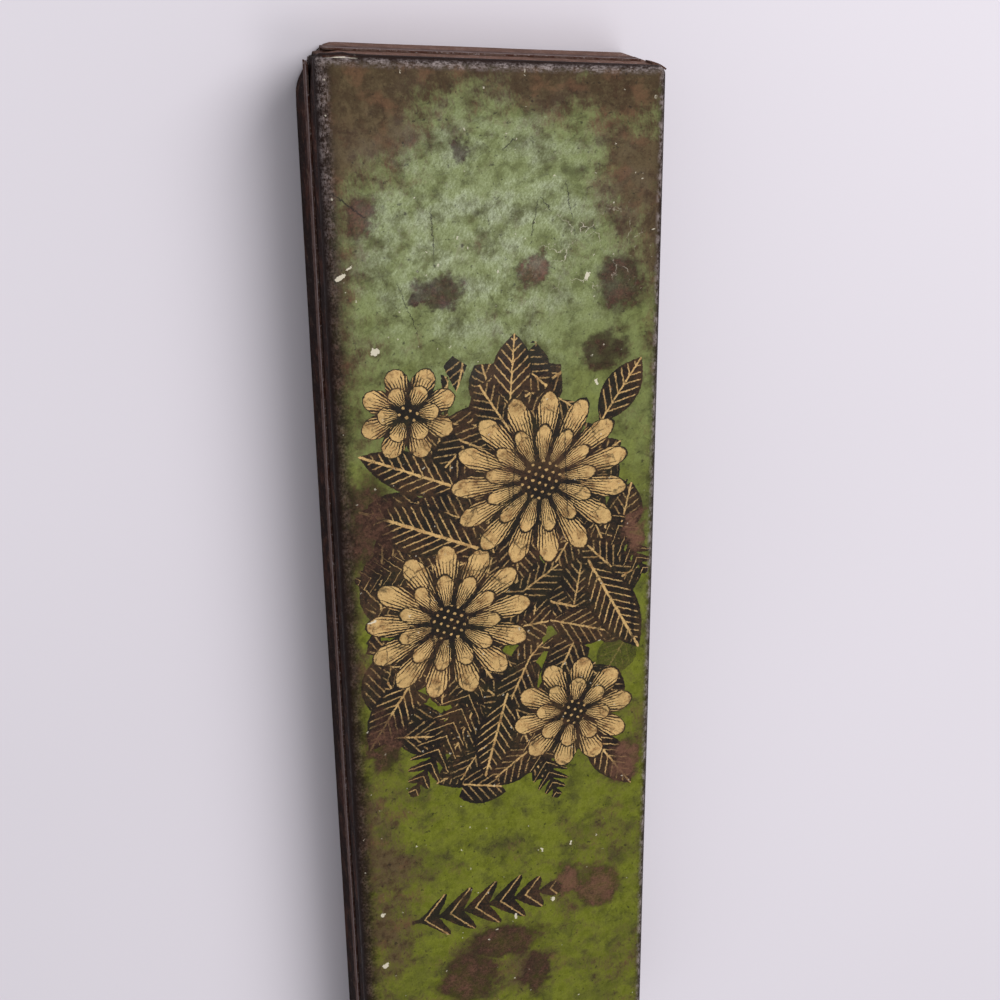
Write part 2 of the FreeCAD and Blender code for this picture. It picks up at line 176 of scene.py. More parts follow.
class TinColours(bpy.types.PropertyGroup):
    """Colours of print, lacquer, metal and rust, and of the painted sheen, highlights and light."""

    deep_green: paint("Deep green", "Darker green of the field", 93, 99, 28)
    lime_green: paint("Lime green", "Lighter green of the field", 118, 124, 46)
    # Paler, greyer green that the field turns to towards the head end
    sage_green: paint("Sage green", "Faded green at the head end", 118, 128, 82)
    olive: paint("Olive", "Dark freckles of the field", 66, 66, 36)
    # Painted sheen: the pale highlight colour blended into the field near the head
    painted_sheen: paint("Haze", "Pale sheen on the field", 178, 190, 158)
    stain: paint("Stain", "Brown film over the print", 88, 72, 54)
    red_stain: paint("Red stain", "Redder film over the print", 98, 70, 54)
    rust: paint("Rust", "Rust under the film", 64, 46, 36)
    dark_rust: paint("Dark rust", "Darkest rust", 46, 32, 28)
    red_rust: paint("Red rust", "Fresh rust", 104, 74, 60)
    cream: paint("Cream", "Pale ink of the print", 204, 170, 114)
    tan: paint("Tan", "Darker pale ink of the print", 160, 122, 78)
    ink: paint("Ink", "Dark ink of the print", 32, 28, 27)
    brown_ink: paint("Brown ink", "Dark ink that has rusted", 62, 45, 34)
    chip: paint("Chip", "Primer where the print has flaked off", 208, 202, 184)
    # Bare metal; on the lid's folds and the hem it is also a painted highlight
    bare_metal_and_highlight: paint("Worn edge", "Metal that shows along the folds", 158, 148, 148)
    lacquer: paint("Lacquer", "Brown lacquer on the walls", 29, 17, 14)
    lacquer_red: paint("Lacquer red", "Redder patches of the lacquer", 66, 38, 29)
    # Brown rust and painted light: the head end wall is made lighter than the other walls
    head_rust_and_light: paint("Head rust", "Brown rust on the head end", 112, 84, 72)
    hem: paint("Hem", "Rusty back of the sheet that the hem shows", 92, 74, 68)
    tin: paint("Tin", "Dull tinplate inside", 150, 144, 134)
    steel: paint("Steel", "Hinge wire", 118, 108, 100)
    floor: paint("Floor", "Pale floor", 216, 213, 223)


def millimetres(group):
    """A property group's lengths as plain numbers in millimetres."""
    return SimpleNamespace(**{name: getattr(group, name) / MM for name in group.__annotations__})


def rise(value, low, high):
    """Smooth step: 0 below low, 1 above high, with level ends."""
    share = np.clip((value - low) / (high - low), 0, 1)
    return share * share * (3 - 2 * share)


def ripple(across, along, seed):
    """Slow waves between about -1 and 1: a sum of five sines in fixed, seeded directions."""
    draw = np.random.default_rng(seed)
    total = np.zeros(np.broadcast(across, along).shape)
    for wave in (0.9, 0.55, 0.31, 0.18, 0.11):
        turn, start = draw.uniform(0, 2 * math.pi, 2)
        pace = 2 * math.pi * (1 - wave + 0.15) / 38
        total = total + wave * np.sin(pace * (across * math.cos(turn) + along * math.sin(turn)) + start)
    return total / 1.4


class Patches:
    """Grids of points, sewn into one mesh where their borders meet."""

    def __init__(self):
        self.points = []
        self.faces = []
        self.finishes = []
        self.count = 0

    def add(self, grid, finish, keep=None, turned=False):
        """One grid of rows and columns; its faces look along row x column, or the other way if turned."""
        rows, columns = grid.shape[:2]
        index = self.count + np.arange(rows * columns).reshape(rows, columns)
        quads = np.stack([index[:-1, :-1], index[1:, :-1], index[1:, 1:], index[:-1, 1:]], axis=-1)
        if turned:
            quads = quads[..., ::-1]
        quads = quads[keep] if keep is not None else quads.reshape(-1, 4)
        self.points.append(grid.reshape(-1, 3))
        self.faces.append(quads)
        self.finishes.append(np.full(len(quads), finish))
        self.count += rows * columns

    def mesh(self, name, shape):
        """The mesh: points bent by shape, merged where they meet, with raw borders marked sharp."""
        points = np.concatenate(self.points)
        faces = np.concatenate(self.faces)
        finishes = np.concatenate(self.finishes)
        keys = np.round(points / WELD).astype(np.int64)
        first, back = np.unique(keys, axis=0, return_index=True, return_inverse=True)[1:]
        faces = back.reshape(-1)[faces]
        points = shape(points[first])
        whole = np.ones(len(faces), bool)
        lists = []
        order = []
        for corner in range(4):
            other = (corner + 1) % 4
            flat = (faces[:, corner] == faces[:, other]) & whole
            lists += np.delete(faces[flat], other, axis=1).tolist()
            order.append(finishes[flat])
            whole &= ~flat
        lists = faces[whole].tolist() + lists
        finishes = np.concatenate([finishes[whole], *order])
        mesh = bpy.data.meshes.new(name)
        mesh.from_pydata((points * MM).tolist(), [], lists)
        mesh.polygons.foreach_set("material_index", finishes.astype(np.int32))
        mesh.polygons.foreach_set("use_smooth", np.ones(len(lists), bool))
        edges = np.empty(len(mesh.loops), np.int32)
        mesh.loops.foreach_get("edge_index", edges)
        sharp = mesh.attributes.new("sharp_edge", "BOOLEAN", "EDGE")
        sharp.data.foreach_set("value", np.bincount(edges, minlength=len(mesh.edges)) == 1)
        mesh.validate()
        mesh.update()
        return mesh


def new_piece(mesh, body, materials, thickness):
    """An object at the origin with a sheet's thickness, which rides on a body."""
    piece = bpy.data.objects.new(mesh.name, mesh)
    bpy.context.scene.collection.objects.link(piece)
    for material in materials:
        mesh.materials.append(material)
    solid = piece.modifiers.new("sheet", "SOLIDIFY")
    solid.thickness = thickness
    solid.offset = 0
    solid.material_offset = 1
    solid.material_offset_rim = 2
    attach(piece, body)
    return piece


def spread(reach, step, forced):
    """Places from -reach to reach, about one step apart, that take in the forced ones and their mirrors."""
    even = np.linspace(-reach, reach, int(2 * reach / step) + 1)
    fixed = np.unique(np.round([sign * place for place in (reach, *forced) for sign in (-1, 1)], 6))
    clear = np.min(np.abs(even[:, None] - fixed[None, :]), axis=1) > step / 3
    return np.sort(np.concatenate([even[clear], fixed]))


def woven(x, y, z):
    """A grid of places from across, along and height, each given by rows, by columns or as one number."""
    return np.stack(np.broadcast_arrays(x, y, z), axis=-1)


class Ring:
    """Columns round the tin, counter-clockwise from the front wall's head end.

    Each column has a point of the core rectangle, whose edges lie one bend radius inside the walls, and the
    direction that its wall faces. A corner keeps the core's corner and turns the direction through a quarter.
    """

    def __init__(self, across, along):
        width = across[-1]
        reach = along[-1]
        turns = np.radians(np.linspace(0, 90, CORNER_STEPS + 1))[1:-1]
        sides = [
            (np.full(len(along), -width), along[::-1], math.pi),
            (across, np.full(len(across), -reach), math.pi * 1.5),
            (np.full(len(along), width), along, 0.0),
            (across[::-1], np.full(len(across), reach), math.pi * 0.5),
        ]
        corners = [(-width, -reach), (width, -reach), (width, reach), (-width, reach)]
        x, y, angle = [], [], []
        for (side_x, side_y, facing), (corner_x, corner_y) in zip(sides, corners):
            x += [side_x, np.full(len(turns), corner_x)]
            y += [side_y, np.full(len(turns), corner_y)]
            angle += [np.full(len(side_x), facing), facing + turns]
        self.x = np.concatenate([*x, x[0][:1]])
        self.y = np.concatenate([*y, y[0][:1]])
        angle = np.concatenate([*angle, angle[0][:1]])
        self.face_x = np.round(np.cos(angle), 9)
        self.face_y = np.round(np.sin(angle), 9)

    def carry(self, out, up, start=0, stop=None):
        """A profile carried along the columns: out is its distance from the core, up its height."""
        part = slice(start, None if stop is None else stop + 1)
        out = np.asarray(out, float)
        out = out[:, None] if out.ndim == 1 else out[:, part]
        x = self.x[part] + self.face_x[part] * out
        y = self.y[part] + self.face_y[part] * out
        return woven(x, y, np.asarray(up, float)[:, None])

    def middles(self):
        """For each gap between columns: its middle, and which way its wall faces, or 0 at a corner."""
        x = (self.x[:-1] + self.x[1:]) / 2
        y = (self.y[:-1] + self.y[1:]) / 2
        straight = (self.face_x[:-1] == self.face_x[1:]) & (self.face_y[:-1] == self.face_y[1:])
        return x, y, np.where(straight, self.face_x[:-1], 0), np.where(straight, self.face_y[:-1], 0)


def runs(kinds):
    """Neighbouring gaps of one kind: (kind, first column, last column)."""
    breaks = np.flatnonzero(np.diff(kinds)) + 1
    starts = np.concatenate([[0], breaks])
    stops = np.concatenate([breaks, [len(kinds)]])
    return [(kinds[start], start, stop) for start, stop in zip(starts, stops)]


def core(size):
    """Half width and half length of the core rectangle, one bend inside the middle of the walls."""
    half = size.sheet / 2
    return size.half_width - half - INSET - size.bend, size.half_length - half - INSET - size.bend


def both_ways(station, steps):
    """Places some steps either side of a station."""
    return [station + sign * step for step in steps for sign in (-1, 1)]


def arc(centre, radius, start, stop, steps):
    """Points of a circle in a wall's section, from one angle to another, in degrees."""
    angle = np.radians(np.linspace(start, stop, steps + 1))
    return centre[0] + radius * np.cos(angle), centre[1] + radius * np.sin(angle)


def curl(size, width, stop):
    """The section of a knuckle round the hinge wire, from its wall to an angle in degrees."""
    middle = (size.hinge_x - width, size.hinge_z)
    return arc(middle, size.hinge_x - width - size.bend, 180, stop, CURL_STEPS)


def racked(points, size, wear):
    """The head end knocked out of square: places near it slide back as they lie further across."""
    x, y, z = points.T
    across = np.clip((x + size.half_width) / (2 * size.half_width), 0, 1)
    y = y - wear.rack * across * rise(y, size.rack_start, size.half_length)
    return np.stack([x, y, z], axis=-1)


def lid_points(size, wear):
    """The lid's sheet: panel, bends, skirt, hem folded outwards, hinge curls and corner tabs."""
    bend = size.bend
    half = size.sheet / 2
    width, reach = core(size)
    top = size.height - half - LIFT
    fold = HEM_FOLD
    fold_height = size.lid_edge + fold + half
    hem_end = size.half_length - size.hem_gap
    hem_side = size.half_width - size.hem_gap
    stations = both_ways(size.station, (size.lid_knuckle, size.lid_notch_end, size.hem_stop))
    across = spread(width, CROSS_STEP, (hem_side,))
    along = spread(reach, LONG_STEP, (hem_end, *stations))
    ring = Ring(across, along)
    sheet = Patches()
    sheet.add(woven(across, along[:, None], top), PRINT, turned=True)

    # How far each column lies from the torn corner, and how far its skirt is pressed in there
    front = np.where(ring.face_x == -1, reach - ring.y, FAR)
    head = np.where(ring.face_y == 1, ring.x + width, FAR)
    corner = (ring.face_x < 0) & (ring.face_y > 0)
    near = np.where(corner, 0, np.minimum(front, head))
    press = 0.6 * np.clip(1 - near / 8, 0, 1) ** 2 - 1.5 * ring.face_x * ring.face_y * corner

    def pushed(out, up):
        """The skirt pressed in below the torn corner, more towards its lower edge."""
        depth = np.clip((top - bend - np.asarray(up)) / 4, 0, 1)[:, None]
        return np.asarray(out)[:, None] - depth * press[None, :]

    # Bends and the upper skirt, down to the height of the hinge notches
    turn = np.radians(np.linspace(0, 90, BEND_STEPS + 1))
    skirt = np.array([*SKIRT_ROWS, size.lid_notch_top])
    out = np.concatenate([bend * np.sin(turn), np.full(len(skirt), bend)])
    up = np.concatenate([top - bend * (1 - np.cos(turn)), skirt])
    grid = ring.carry(pushed(out, up), up)
    keep = np.ones((len(up) - 1, len(ring.x) - 1), bool)
    torn = (head[:-1] < wear.tear) & (head[1:] < wear.tear)
    keep[3:4, torn] = False
    opening = np.exp(-((head - 3.1) / 1.2) ** 2) + 0.4 * np.exp(-((head - 5.2) / 0.4) ** 2)
    grid[2:4, :, 2] -= 0.1 * opening
    grid[4:, :, 1] += 0.2 * opening
    grid[4:9, :, 2] -= 0.42 * opening
    sheet.add(grid[: BEND_STEPS + 1], PRINT, keep[:BEND_STEPS])
    sheet.add(grid[BEND_STEPS:], SIDE, keep[BEND_STEPS:])

    # Below the notches every run of columns has its own section
    x, y, face_x, face_y = ring.middles()
    from_station = np.abs(np.abs(y) - size.station)
    plain, hem, notch, knuckle = 0, 1, 2, 3
    kinds = np.full(len(x), plain)
    kinds[(face_x != 0) & (np.abs(y) < hem_end)] = hem
    kinds[(face_x == -1) & (y > 0)] = hem
    kinds[(face_y != 0) & (np.abs(x) < hem_side)] = hem
    hinge = face_x == 1
    kinds[hinge & (from_station < size.hem_stop)] = plain
    kinds[hinge & (from_station < size.lid_notch_end)] = notch
    kinds[hinge & (from_station < size.lid_knuckle)] = knuckle
    lower_rows = {
        plain: (size.lid_notch_top, 11.5, size.lid_edge),
        hem: (size.lid_notch_top, 11.6, fold_height),
    }
    for kind, start, stop in runs(kinds):
        part = slice(start, stop + 1)
        if kind in lower_rows:
            up = np.array(lower_rows[kind])
            lower = ring.carry(pushed(np.full(3, bend), up), up, start, stop)
            lower[0] = grid[-1, part]
            sheet.add(lower, SIDE)
        if kind == hem:
            fold_out, fold_up = arc((bend + fold, fold_height), fold, 180, 360, 6)
            back_up = np.array([fold_height + 0.9, fold_height + 1.9, size.lid_edge + size.hem_height])
            back_out = np.concatenate([fold_out, np.full(len(back_up), bend + 2 * fold)])
            back_up = np.concatenate([fold_up, back_up])
            back = ring.carry(back_out, back_up, start, stop)
            slack = 1 - np.clip((back_out - bend) / (2 * fold), 0, 1)
            back[..., 0] -= slack[:, None] * press[part] * ring.face_x[part]
            back[..., 1] -= slack[:, None] * press[part] * ring.face_y[part]
            tooth = np.where(slack < 0.5, 0.1 - 2.2 * np.abs(np.sin(1.9 * back_up + 0.6)), 0)
            back[..., 1] += tooth[:, None] * np.exp(-front[part] / 1.4)
            sheet.add(back, HEM)
        elif kind == knuckle:
            curl_out, curl_up = curl(size, width, 450)
            out = np.concatenate([np.full(2, bend), curl_out])
            up = np.concatenate([[size.lid_notch_top, 11.4], curl_up])
            sheet.add(ring.carry(out, up, start, stop), SIDE)

    # A strip of painted light under the torn corner
    add_slit_light(sheet, size, wear, top)
    add_tabs(sheet, size)
    return sheet


def add_slit_light(sheet, size, wear, top):
    """Painted light through the tear: a narrow bright strip under the head's fold."""
    width, reach = core(size)
    across = np.linspace(-width + 0.4, -width + wear.tear + 0.8, 8)
    out = np.array([0.35, 0.75, 1.1])
    drop = np.array([0.5, 0.75, 1.2])
    sheet.add(woven(across, reach + out[:, None], top - drop[:, None]), SLIT_LIGHT, turned=True)


def add_tabs(sheet, size):
    """The ends' tabs: two lapped round the foot's corners, and one sprung loose at the head."""
    width, reach = core(size)
    layer = size.bend + 2 * HEM_FOLD
    height = np.linspace(size.lap_top, size.lap_foot, 5)[:, None]
    straight = np.linspace(size.half_length - size.lap_reach, reach, 5)
    swing = np.radians(np.linspace(0, 62, 6))[1:]
    across = np.concatenate([np.full(5, width + layer), width + layer * np.cos(swing)])
    along = np.concatenate([straight, reach + layer * np.sin(swing)])
    for side in (-1, 1):
        sheet.add(woven(across * side, -along, height), SIDE, turned=side > 0)

    # The loose tab stands out past the hinge side in a point
    run = np.linspace(0, 1, 8)
    across = width - 0.6 + (size.half_width + 1.35 - width) * run
    along = reach + layer - 1.1 * run**2
    high = size.lap_top - 0.2 - 0.9 * run
    low = size.lap_foot + 0.3 + 2.0 * run
    share = np.linspace(0, 1, 5)[:, None]
    sheet.add(woven(across, along, high * (1 - share) + low * share), SIDE, turned=True)


def lid_wear(points, size, wear):
    """The lid as it has aged: front wall drawn in at its ends, shallow dents, head end out of square."""
    x, y, z = points.T
    ends = (np.abs(y) / size.half_length) ** 2
    x = x + np.where(x < 0, wear.barrel * ends * (x / size.half_width) ** 2, 0)
    x = x + 0.05 * (1 + ripple(y, z, 5)) * rise(-x, size.half_width - 1.5, size.half_width - 0.6)
    roof = rise(z, size.height - 2.5, size.height - 0.4)
    rim = rise(size.half_width - np.abs(x), 0.5, 9) * rise(size.half_length - np.abs(y), 0.5, 12)
    z = z - roof * (wear.dent * (1 + ripple(x, y, 11)) * (0.35 + 0.65 * rim) + 0.12 * rim)
    return racked(np.stack([x, y, z], axis=-1), size, wear)


def base_points(size):
    """The base's sheet: panel, bends, walls, hinge curls and the tabs lapped inside three corners."""
    bend = size.bend
    width, reach = core(size)
    floor = size.sheet / 2 + LIFT
    stations = both_ways(size.station, (size.base_knuckle_start, size.base_knuckle_end))
    across = spread(width, CROSS_STEP, ())
    along = spread(reach, LONG_STEP, stations)
    ring = Ring(across, along)
    sheet = Patches()
    sheet.add(woven(across, along[:, None], floor), PRINT)
    turn = np.radians(np.linspace(0, 90, BEND_STEPS + 1))
    wall = np.linspace(floor + bend, size.base_notch_foot, 8)[1:]
    out = np.concatenate([bend * np.sin(turn), np.full(len(wall), bend)])
    up = np.concatenate([floor + bend * (1 - np.cos(turn)), wall])
    sheet.add(ring.carry(out, up), PRINT, turned=True)

    x, y, face_x = ring.middles()[:3]
    from_station = np.abs(np.abs(y) - size.station)
    plain, notch, knuckle = 0, 1, 2
    kinds = np.full(len(x), plain)
    kinds[(face_x == 1) & (from_station < size.base_knuckle_end)] = knuckle
    kinds[(face_x == 1) & (from_station < size.base_knuckle_start)] = notch
    for kind, start, stop in runs(kinds):
        if kind == plain:
            up = [size.base_notch_foot, 10.0, size.base_edge]
            sheet.add(ring.carry(np.full(3, bend), up, start, stop), PRINT, turned=True)
        elif kind == knuckle:
            curl_out, curl_up = curl(size, width, -90)
            out = np.concatenate([np.full(2, bend), curl_out])
            up = np.concatenate([[size.base_notch_foot, 10.0], curl_up])
            sheet.add(ring.carry(out, up, start, stop), PRINT, turned=True)

    tab_foot, tab_top, tab_reach, tab_inset = BASE_TAB
    height = np.linspace(tab_foot, tab_top, 5)[:, None]
    tab = np.linspace(size.half_length - tab_reach, reach, 7)
    for side, end in ((-1, -1), (1, -1), (1, 1)):
        sheet.add(woven(side * (width + bend - tab_inset), tab * end, height), PRINT, turned=side * end > 0)
    return sheet


def base_wear(points, size, wear):
    """The base as it has aged: one corner crushed, a bellied front, wavy walls, head end out of square."""
    x, y, z = points.T
    over = wear.crush - (x + size.half_width) - 0.75 * (size.half_length - y)
    push = (over + np.sqrt(over**2 + 0.6)) / 4 * (1 - 0.2 * rise(z, 4, 10.6))
    x = x + push
    y = y - push
    belly = rise(z, 0.2, 3) * (1 - 0.8 * rise(z, 5, 10.6)) * (1 - (y / size.half_length) ** 2)
    x = x - 0.3 * belly * rise(-x, size.half_width - 1.5, size.half_width - 0.6)
    wavy = 0.05 * (1 + ripple(y, z, 7)) * rise(z, 0.3, 2)
    x = x + wavy * rise(-x, size.half_width - 1.2, size.half_width - 0.4)
    rough = 0.05 * (1 + ripple(3 * x, 3 * z, 9)) * rise(z, 0.2, 1.5)
    y = y - rough * rise(y, size.half_length - 1.2, size.half_length - 0.4)
    return racked(np.stack([x, y, z], axis=-1), size, wear)


def neck_points(size):
    """The head's neck strip: a straight section, stepped in at the base's edge, carried across the end."""
    out = size.half_length - NECK_WALL - np.repeat([NECK_BELOW, NECK_ABOVE], 3)
    up = np.array([size.neck_foot, 7.5, size.base_edge - 0.8, size.base_edge, 13.0, size.neck_top])
    across = np.linspace(-(size.half_width - 7), size.half_width - 1.9, 40)
    sheet = Patches()
    sheet.add(woven(across, out[:, None], up[:, None]), PRINT)
    return sheet


class Field:
    """A shader socket that takes part in Python sums; every operation adds the node that it needs."""

    def __init__(self, tree, socket):
        self.tree = tree
        self.socket = socket

    def node(self, kind, settings=None, sockets=None, output=0):
        """A node of any kind: settings are its own properties, sockets what its inputs take."""
        made = self.tree.nodes.new(kind)
        for name, setting in (settings or {}).items():
            setattr(made, name, setting)
        for key, given in (sockets or {}).items():
            if isinstance(given, Field):
                self.tree.links.new(given.socket, made.inputs[key])
            else:
                made.inputs[key].default_value = given
        return Field(self.tree, made.outputs[output])

    def math(self, operation, *others):
        """A Math node on this field and others."""
        return self.node("ShaderNodeMath", {"operation": operation}, dict(enumerate((self, *others))))

    def __add__(self, other):
        return self.math("ADD", other)

    __radd__ = __add__

    def __mul__(self, other):
        return self.math("MULTIPLY", other)

    __rmul__ = __mul__

    def __sub__(self, other):
        return self.math("SUBTRACT", other)

    def __rsub__(self, other):
        return self.node("ShaderNodeMath", {"operation": "SUBTRACT"}, {0: other, 1: self})

    def __truediv__(self, other):
        return self.math("DIVIDE", other)

    def smooth(self, low, high):
        """0 below low, 1 above high, with level ends."""
        return self.node(
            "ShaderNodeMapRange",
            {"interpolation_type": "SMOOTHSTEP"},
            {"Value": self, "From Min": low, "From Max": high},
        )

    def fall(self, low, high):
        """1 below low, 0 above high, with level ends."""
        return 1 - self.smooth(low, high)

    def sway(self, reach):
        """A noise about 0: from -reach / 2 to reach / 2."""
        return (self - 0.5) * reach

    def size(self):
        return self.math("ABSOLUTE")

    def least(self, other):
        return self.math("MINIMUM", other)

    def most(self, other):
        return self.math("MAXIMUM", other)

    def clear(self):
        """Kept between 0 and 1."""
        return self.node("ShaderNodeClamp", None, {"Value": self})

    def vector(self, operation, *others, output=0):
        """A Vector Math node on this vector and others."""
        sockets = dict(enumerate((self, *others)))
        return self.node("ShaderNodeVectorMath", {"operation": operation}, sockets, output)

    def span(self):
        """The length of a vector."""
        return self.vector("LENGTH", output=1)

    def along(self, direction):
        """How far a place lies along a fixed direction."""
        return self.vector("DOT_PRODUCT", direction, output=1)

    def parts(self):
        """The three numbers of a vector."""
        split = self.node("ShaderNodeSeparateXYZ", None, {0: self}).socket.node
        return [Field(self.tree, socket) for socket in split.outputs]

    def noise(self, scale, detail, roughness, output=0):
        """Fractal noise over a place, from 0 to 1; the second output gives three of them as a colour."""
        sockets = {"Vector": self, "Scale": scale, "Detail": detail, "Roughness": roughness}
        return self.node("ShaderNodeTexNoise", None, sockets, output)

    def stretched(self, turn, pull):
        """Places drawn out along Y, turned by an angle, so that a pattern over them runs in streaks."""
        return self.node(
            "ShaderNodeMapping",
            {"vector_type": "TEXTURE"},
            {"Vector": self, "Rotation": (0, 0, turn), "Scale": (1, pull, 1)},
        )

    def cells(self, scale, feature="F1", output=0):
        """A scatter of cells: the distance to the nearest seed or border, or the cell's own colour."""
        sockets = {"Vector": self, "Scale": scale}
        return self.node("ShaderNodeTexVoronoi", {"feature": feature}, sockets, output)

    def blend(self, first, second):
        """The first colour where this field is 0, the second where it is 1."""
        colours = {6: solid(first), 7: solid(second)}
        return self.node("ShaderNodeMix", {"data_type": "RGBA"}, {0: self, **colours}, 2)


def solid(colour):
    """A colour with its fourth number, unless it is a field."""
    return colour if isinstance(colour, Field) else (*colour, 1.0)


def new_material(name, specular=0.5):
    """A material with its shader, and places on the object in millimetres."""
    material = bpy.data.materials.new(name)
    material.use_nodes = True
    tree = material.node_tree
    tree.nodes.clear()
    shader = tree.nodes.new("ShaderNodeBsdfPrincipled")
    shader.inputs["Specular IOR Level"].default_value = specular
    target = tree.nodes.new("ShaderNodeOutputMaterial")
    tree.links.new(shader.outputs[0], target.inputs["Surface"])
    start = Field(tree, shader.outputs[0])
    metres = start.node("ShaderNodeTexCoord", output="Object")
    place = metres.vector("MULTIPLY", (1 / MM, 1 / MM, 1 / MM))
    return material, shader, place


def connect(shader, **fields):
    """Fields and numbers onto the shader's sockets, by the sockets' names with low lines for spaces."""
    for name, given in fields.items():
        socket = shader.inputs[name.replace("_", " ")]
        if isinstance(given, Field):
            given.tree.links.new(given.socket, socket)
        else:
            socket.default_value = given


def squared(place, size, wear):
    """Places as they lay before the head end was knocked out of square."""
    x, y = place.parts()[:2]
    across = ((x + size.half_width) / (2 * size.half_width)).clear()
    slip = across * y.smooth(size.rack_start, size.half_length) * wear.rack
    return place.vector("ADD", slip.node("ShaderNodeCombineXYZ", None, {"Y": slip}))


def relief(height, depth):
    """A surface normal from a height field; depth is how far the field's 0 to 1 stands out, in metres."""
    sockets = {"Strength": 1.0, "Distance": depth, "Height": height}
    return height.node("ShaderNodeBump", None, sockets, "Normal")


# The printed spray, in millimetres on the lid, with the upper ones first
# Flower heads: across, along, radius, petals and turn
FLOWERS = (
    (7.2, 30.2, 16.4, 15, 0.0),
    (-9.6, 5.0, 15.4, 13, 0.2),
    (13.4, -16.9, 11.7, 10, 0.3),
    (-15.7, 44.6, 8.5, 8, 0.1),
)
# Broad leaves: from, to and half width
LEAVES = (
    (-3.2, 18.2, -25.1, 28.3, 4.8),
    (-6.2, 29.8, -24.6, 38.1, 3.8),
    (15.8, 14.0, 26.0, -5.3, 4.4),
    (1.7, 43.9, 2.7, 56.9, 3.6),
    (17.7, 39.3, 25.2, 50.6, 3.4),
    (-16.1, -4.7, -25.0, -18.5, 4.0),
    (0.9, -10.6, -3.6, -27.9, 4.0),
    (15.9, -21.0, 25.1, -34.4, 3.6),
)
# Fern fronds, the last a sprig below the spray: from, to, how far their leaflets reach and how many there are
FRONDS = (
    (-4.1, -6.2, -17.5, -29.4, 4.2, 9.0),
    (5.9, -18.7, 10.5, -34.9, 3.6, 7.0),
    (-15.1, 16.8, -26.0, 15.3, 3.2, 6.0),
    (19.8, 22.9, 26.9, 9.8, 3.0, 6.0),
    (-18.4, -57.4, 11.5, -55.3, 5.0, 6.0),
)
# Scatters of leaves behind them: pitch, and where the scatter starts
SCATTERS = ((9.8, 700.0), (8.4, 500.0), (11.5, 300.0))
# Rust spots: across, along, half widths, and the share of red in them
SPOTS = (
    (-10.1, 65.0, 4.6, 3.3, 0.2),
    (-13.3, 63.8, 2.4, 1.92, 0.1),
    (6.5, 67.4, 3.4, 2.9, 0.6),
    (18.5, -57.1, 5.6, 5.4, 0.65),
    (12.6, -54.2, 3.2, 3.8, 0.95),
    (-0.5, -65.5, 9.0, 4.1, 0.3),
    (-7.9, -72.8, 6.4, 7.7, 0.35),
    (6.3, -74.3, 3.4, 6.3, 0.3),
    (-5.7, 88.5, 1.8, 1.81, 0.2),
    (-22.2, 77.6, 3.0, 4.5, 0.5),
    (21.3, 63.8, 4.8, 5.4, 0.3),
    (18.3, 52.4, 4.4, 4.3, 0.1),
    (-22.6, 25.5, 4.6, 10.7, 0.3),
    (24.8, 18.6, 2.6, 5.0, 0.8),
    (24.0, -29.5, 3.4, 5.6, 0.8),
    (-22.0, -16.8, 4.0, 7.9, 0.35),
)
# Brown smudges of film: across, along and half widths
SMUDGES = (
    (-19.9, -55.0, 7.0, 19.2),
    (-14.0, -45.2, 8.5, 5.6),
    (21.1, -44.8, 7.0, 9.0),
    (-2.9, -71.8, 13.0, 10.2),
    (19.6, 80.9, 6.0, 9.0),
    (-20.3, 91.8, 8.0, 10.2),
)
# Flakes where the primer shows: across, along, half widths and slant
FLAKES = (
    (-25.9, 68.5, 0.45, 0.99, -0.9),
    (-24.5, 69.9, 0.25, 0.66, -0.8),
    (-20.9, 55.8, 0.75, 0.66, 0.3),
    (-23.4, 7.2, 0.8, 0.28, 0.1),
    (-24.0, -54.3, 0.5, 0.44, 0.0),
    (-23.9, -66.0, 0.8, 0.44, 0.7),
    (7.4, -46.1, 0.2, 0.66, 0.4),
    (13.2, -45.6, 0.2, 0.55, -0.3),
    (9.6, -57.9, 0.35, 0.55, 0.3),
    (2.0, -60.2, 0.25, 0.66, 0.2),
    (17.1, 46.8, 0.3, 0.55, 0.2),
    (15.3, 65.4, 0.4, 0.77, -0.4),
)
# Hairline scratches: from, to and half width
SCRATCHES = (
    (-11.0, 79.1, -10.5, 70.1, 0.07),
    (-17.1, 67.6, -13.2, 56.8, 0.06),
    (7.0, 79.5, 5.5, 71.9, 0.07),
    (7.0, 79.5, 9.2, 76.6, 0.07),
    (11.4, 82.3, 12.8, 74.3, 0.06),
    (-27.1, 82.3, -20.6, 77.0, 0.12),
    (24.2, 9.5, 24.8, -6.9, 0.3),
    (1.0, 87.7, 3.0, 89.9, 0.1),
    (-13.3, 16.6, -12.3, -4.7, 0.16),
    (-6.2, 11.8, -7.6, -3.0, 0.09),
    (11.2, 43.7, 12.2, 19.0, 0.12),
    (2.7, 39.1, 2.0, 23.6, 0.1),
    (-1.3, 34.6, 16.8, 25.2, 0.07),
    (-20.1, 4.6, 0.8, -1.3, 0.06),
    (14.9, -10.4, 12.9, -25.8, 0.1),
)


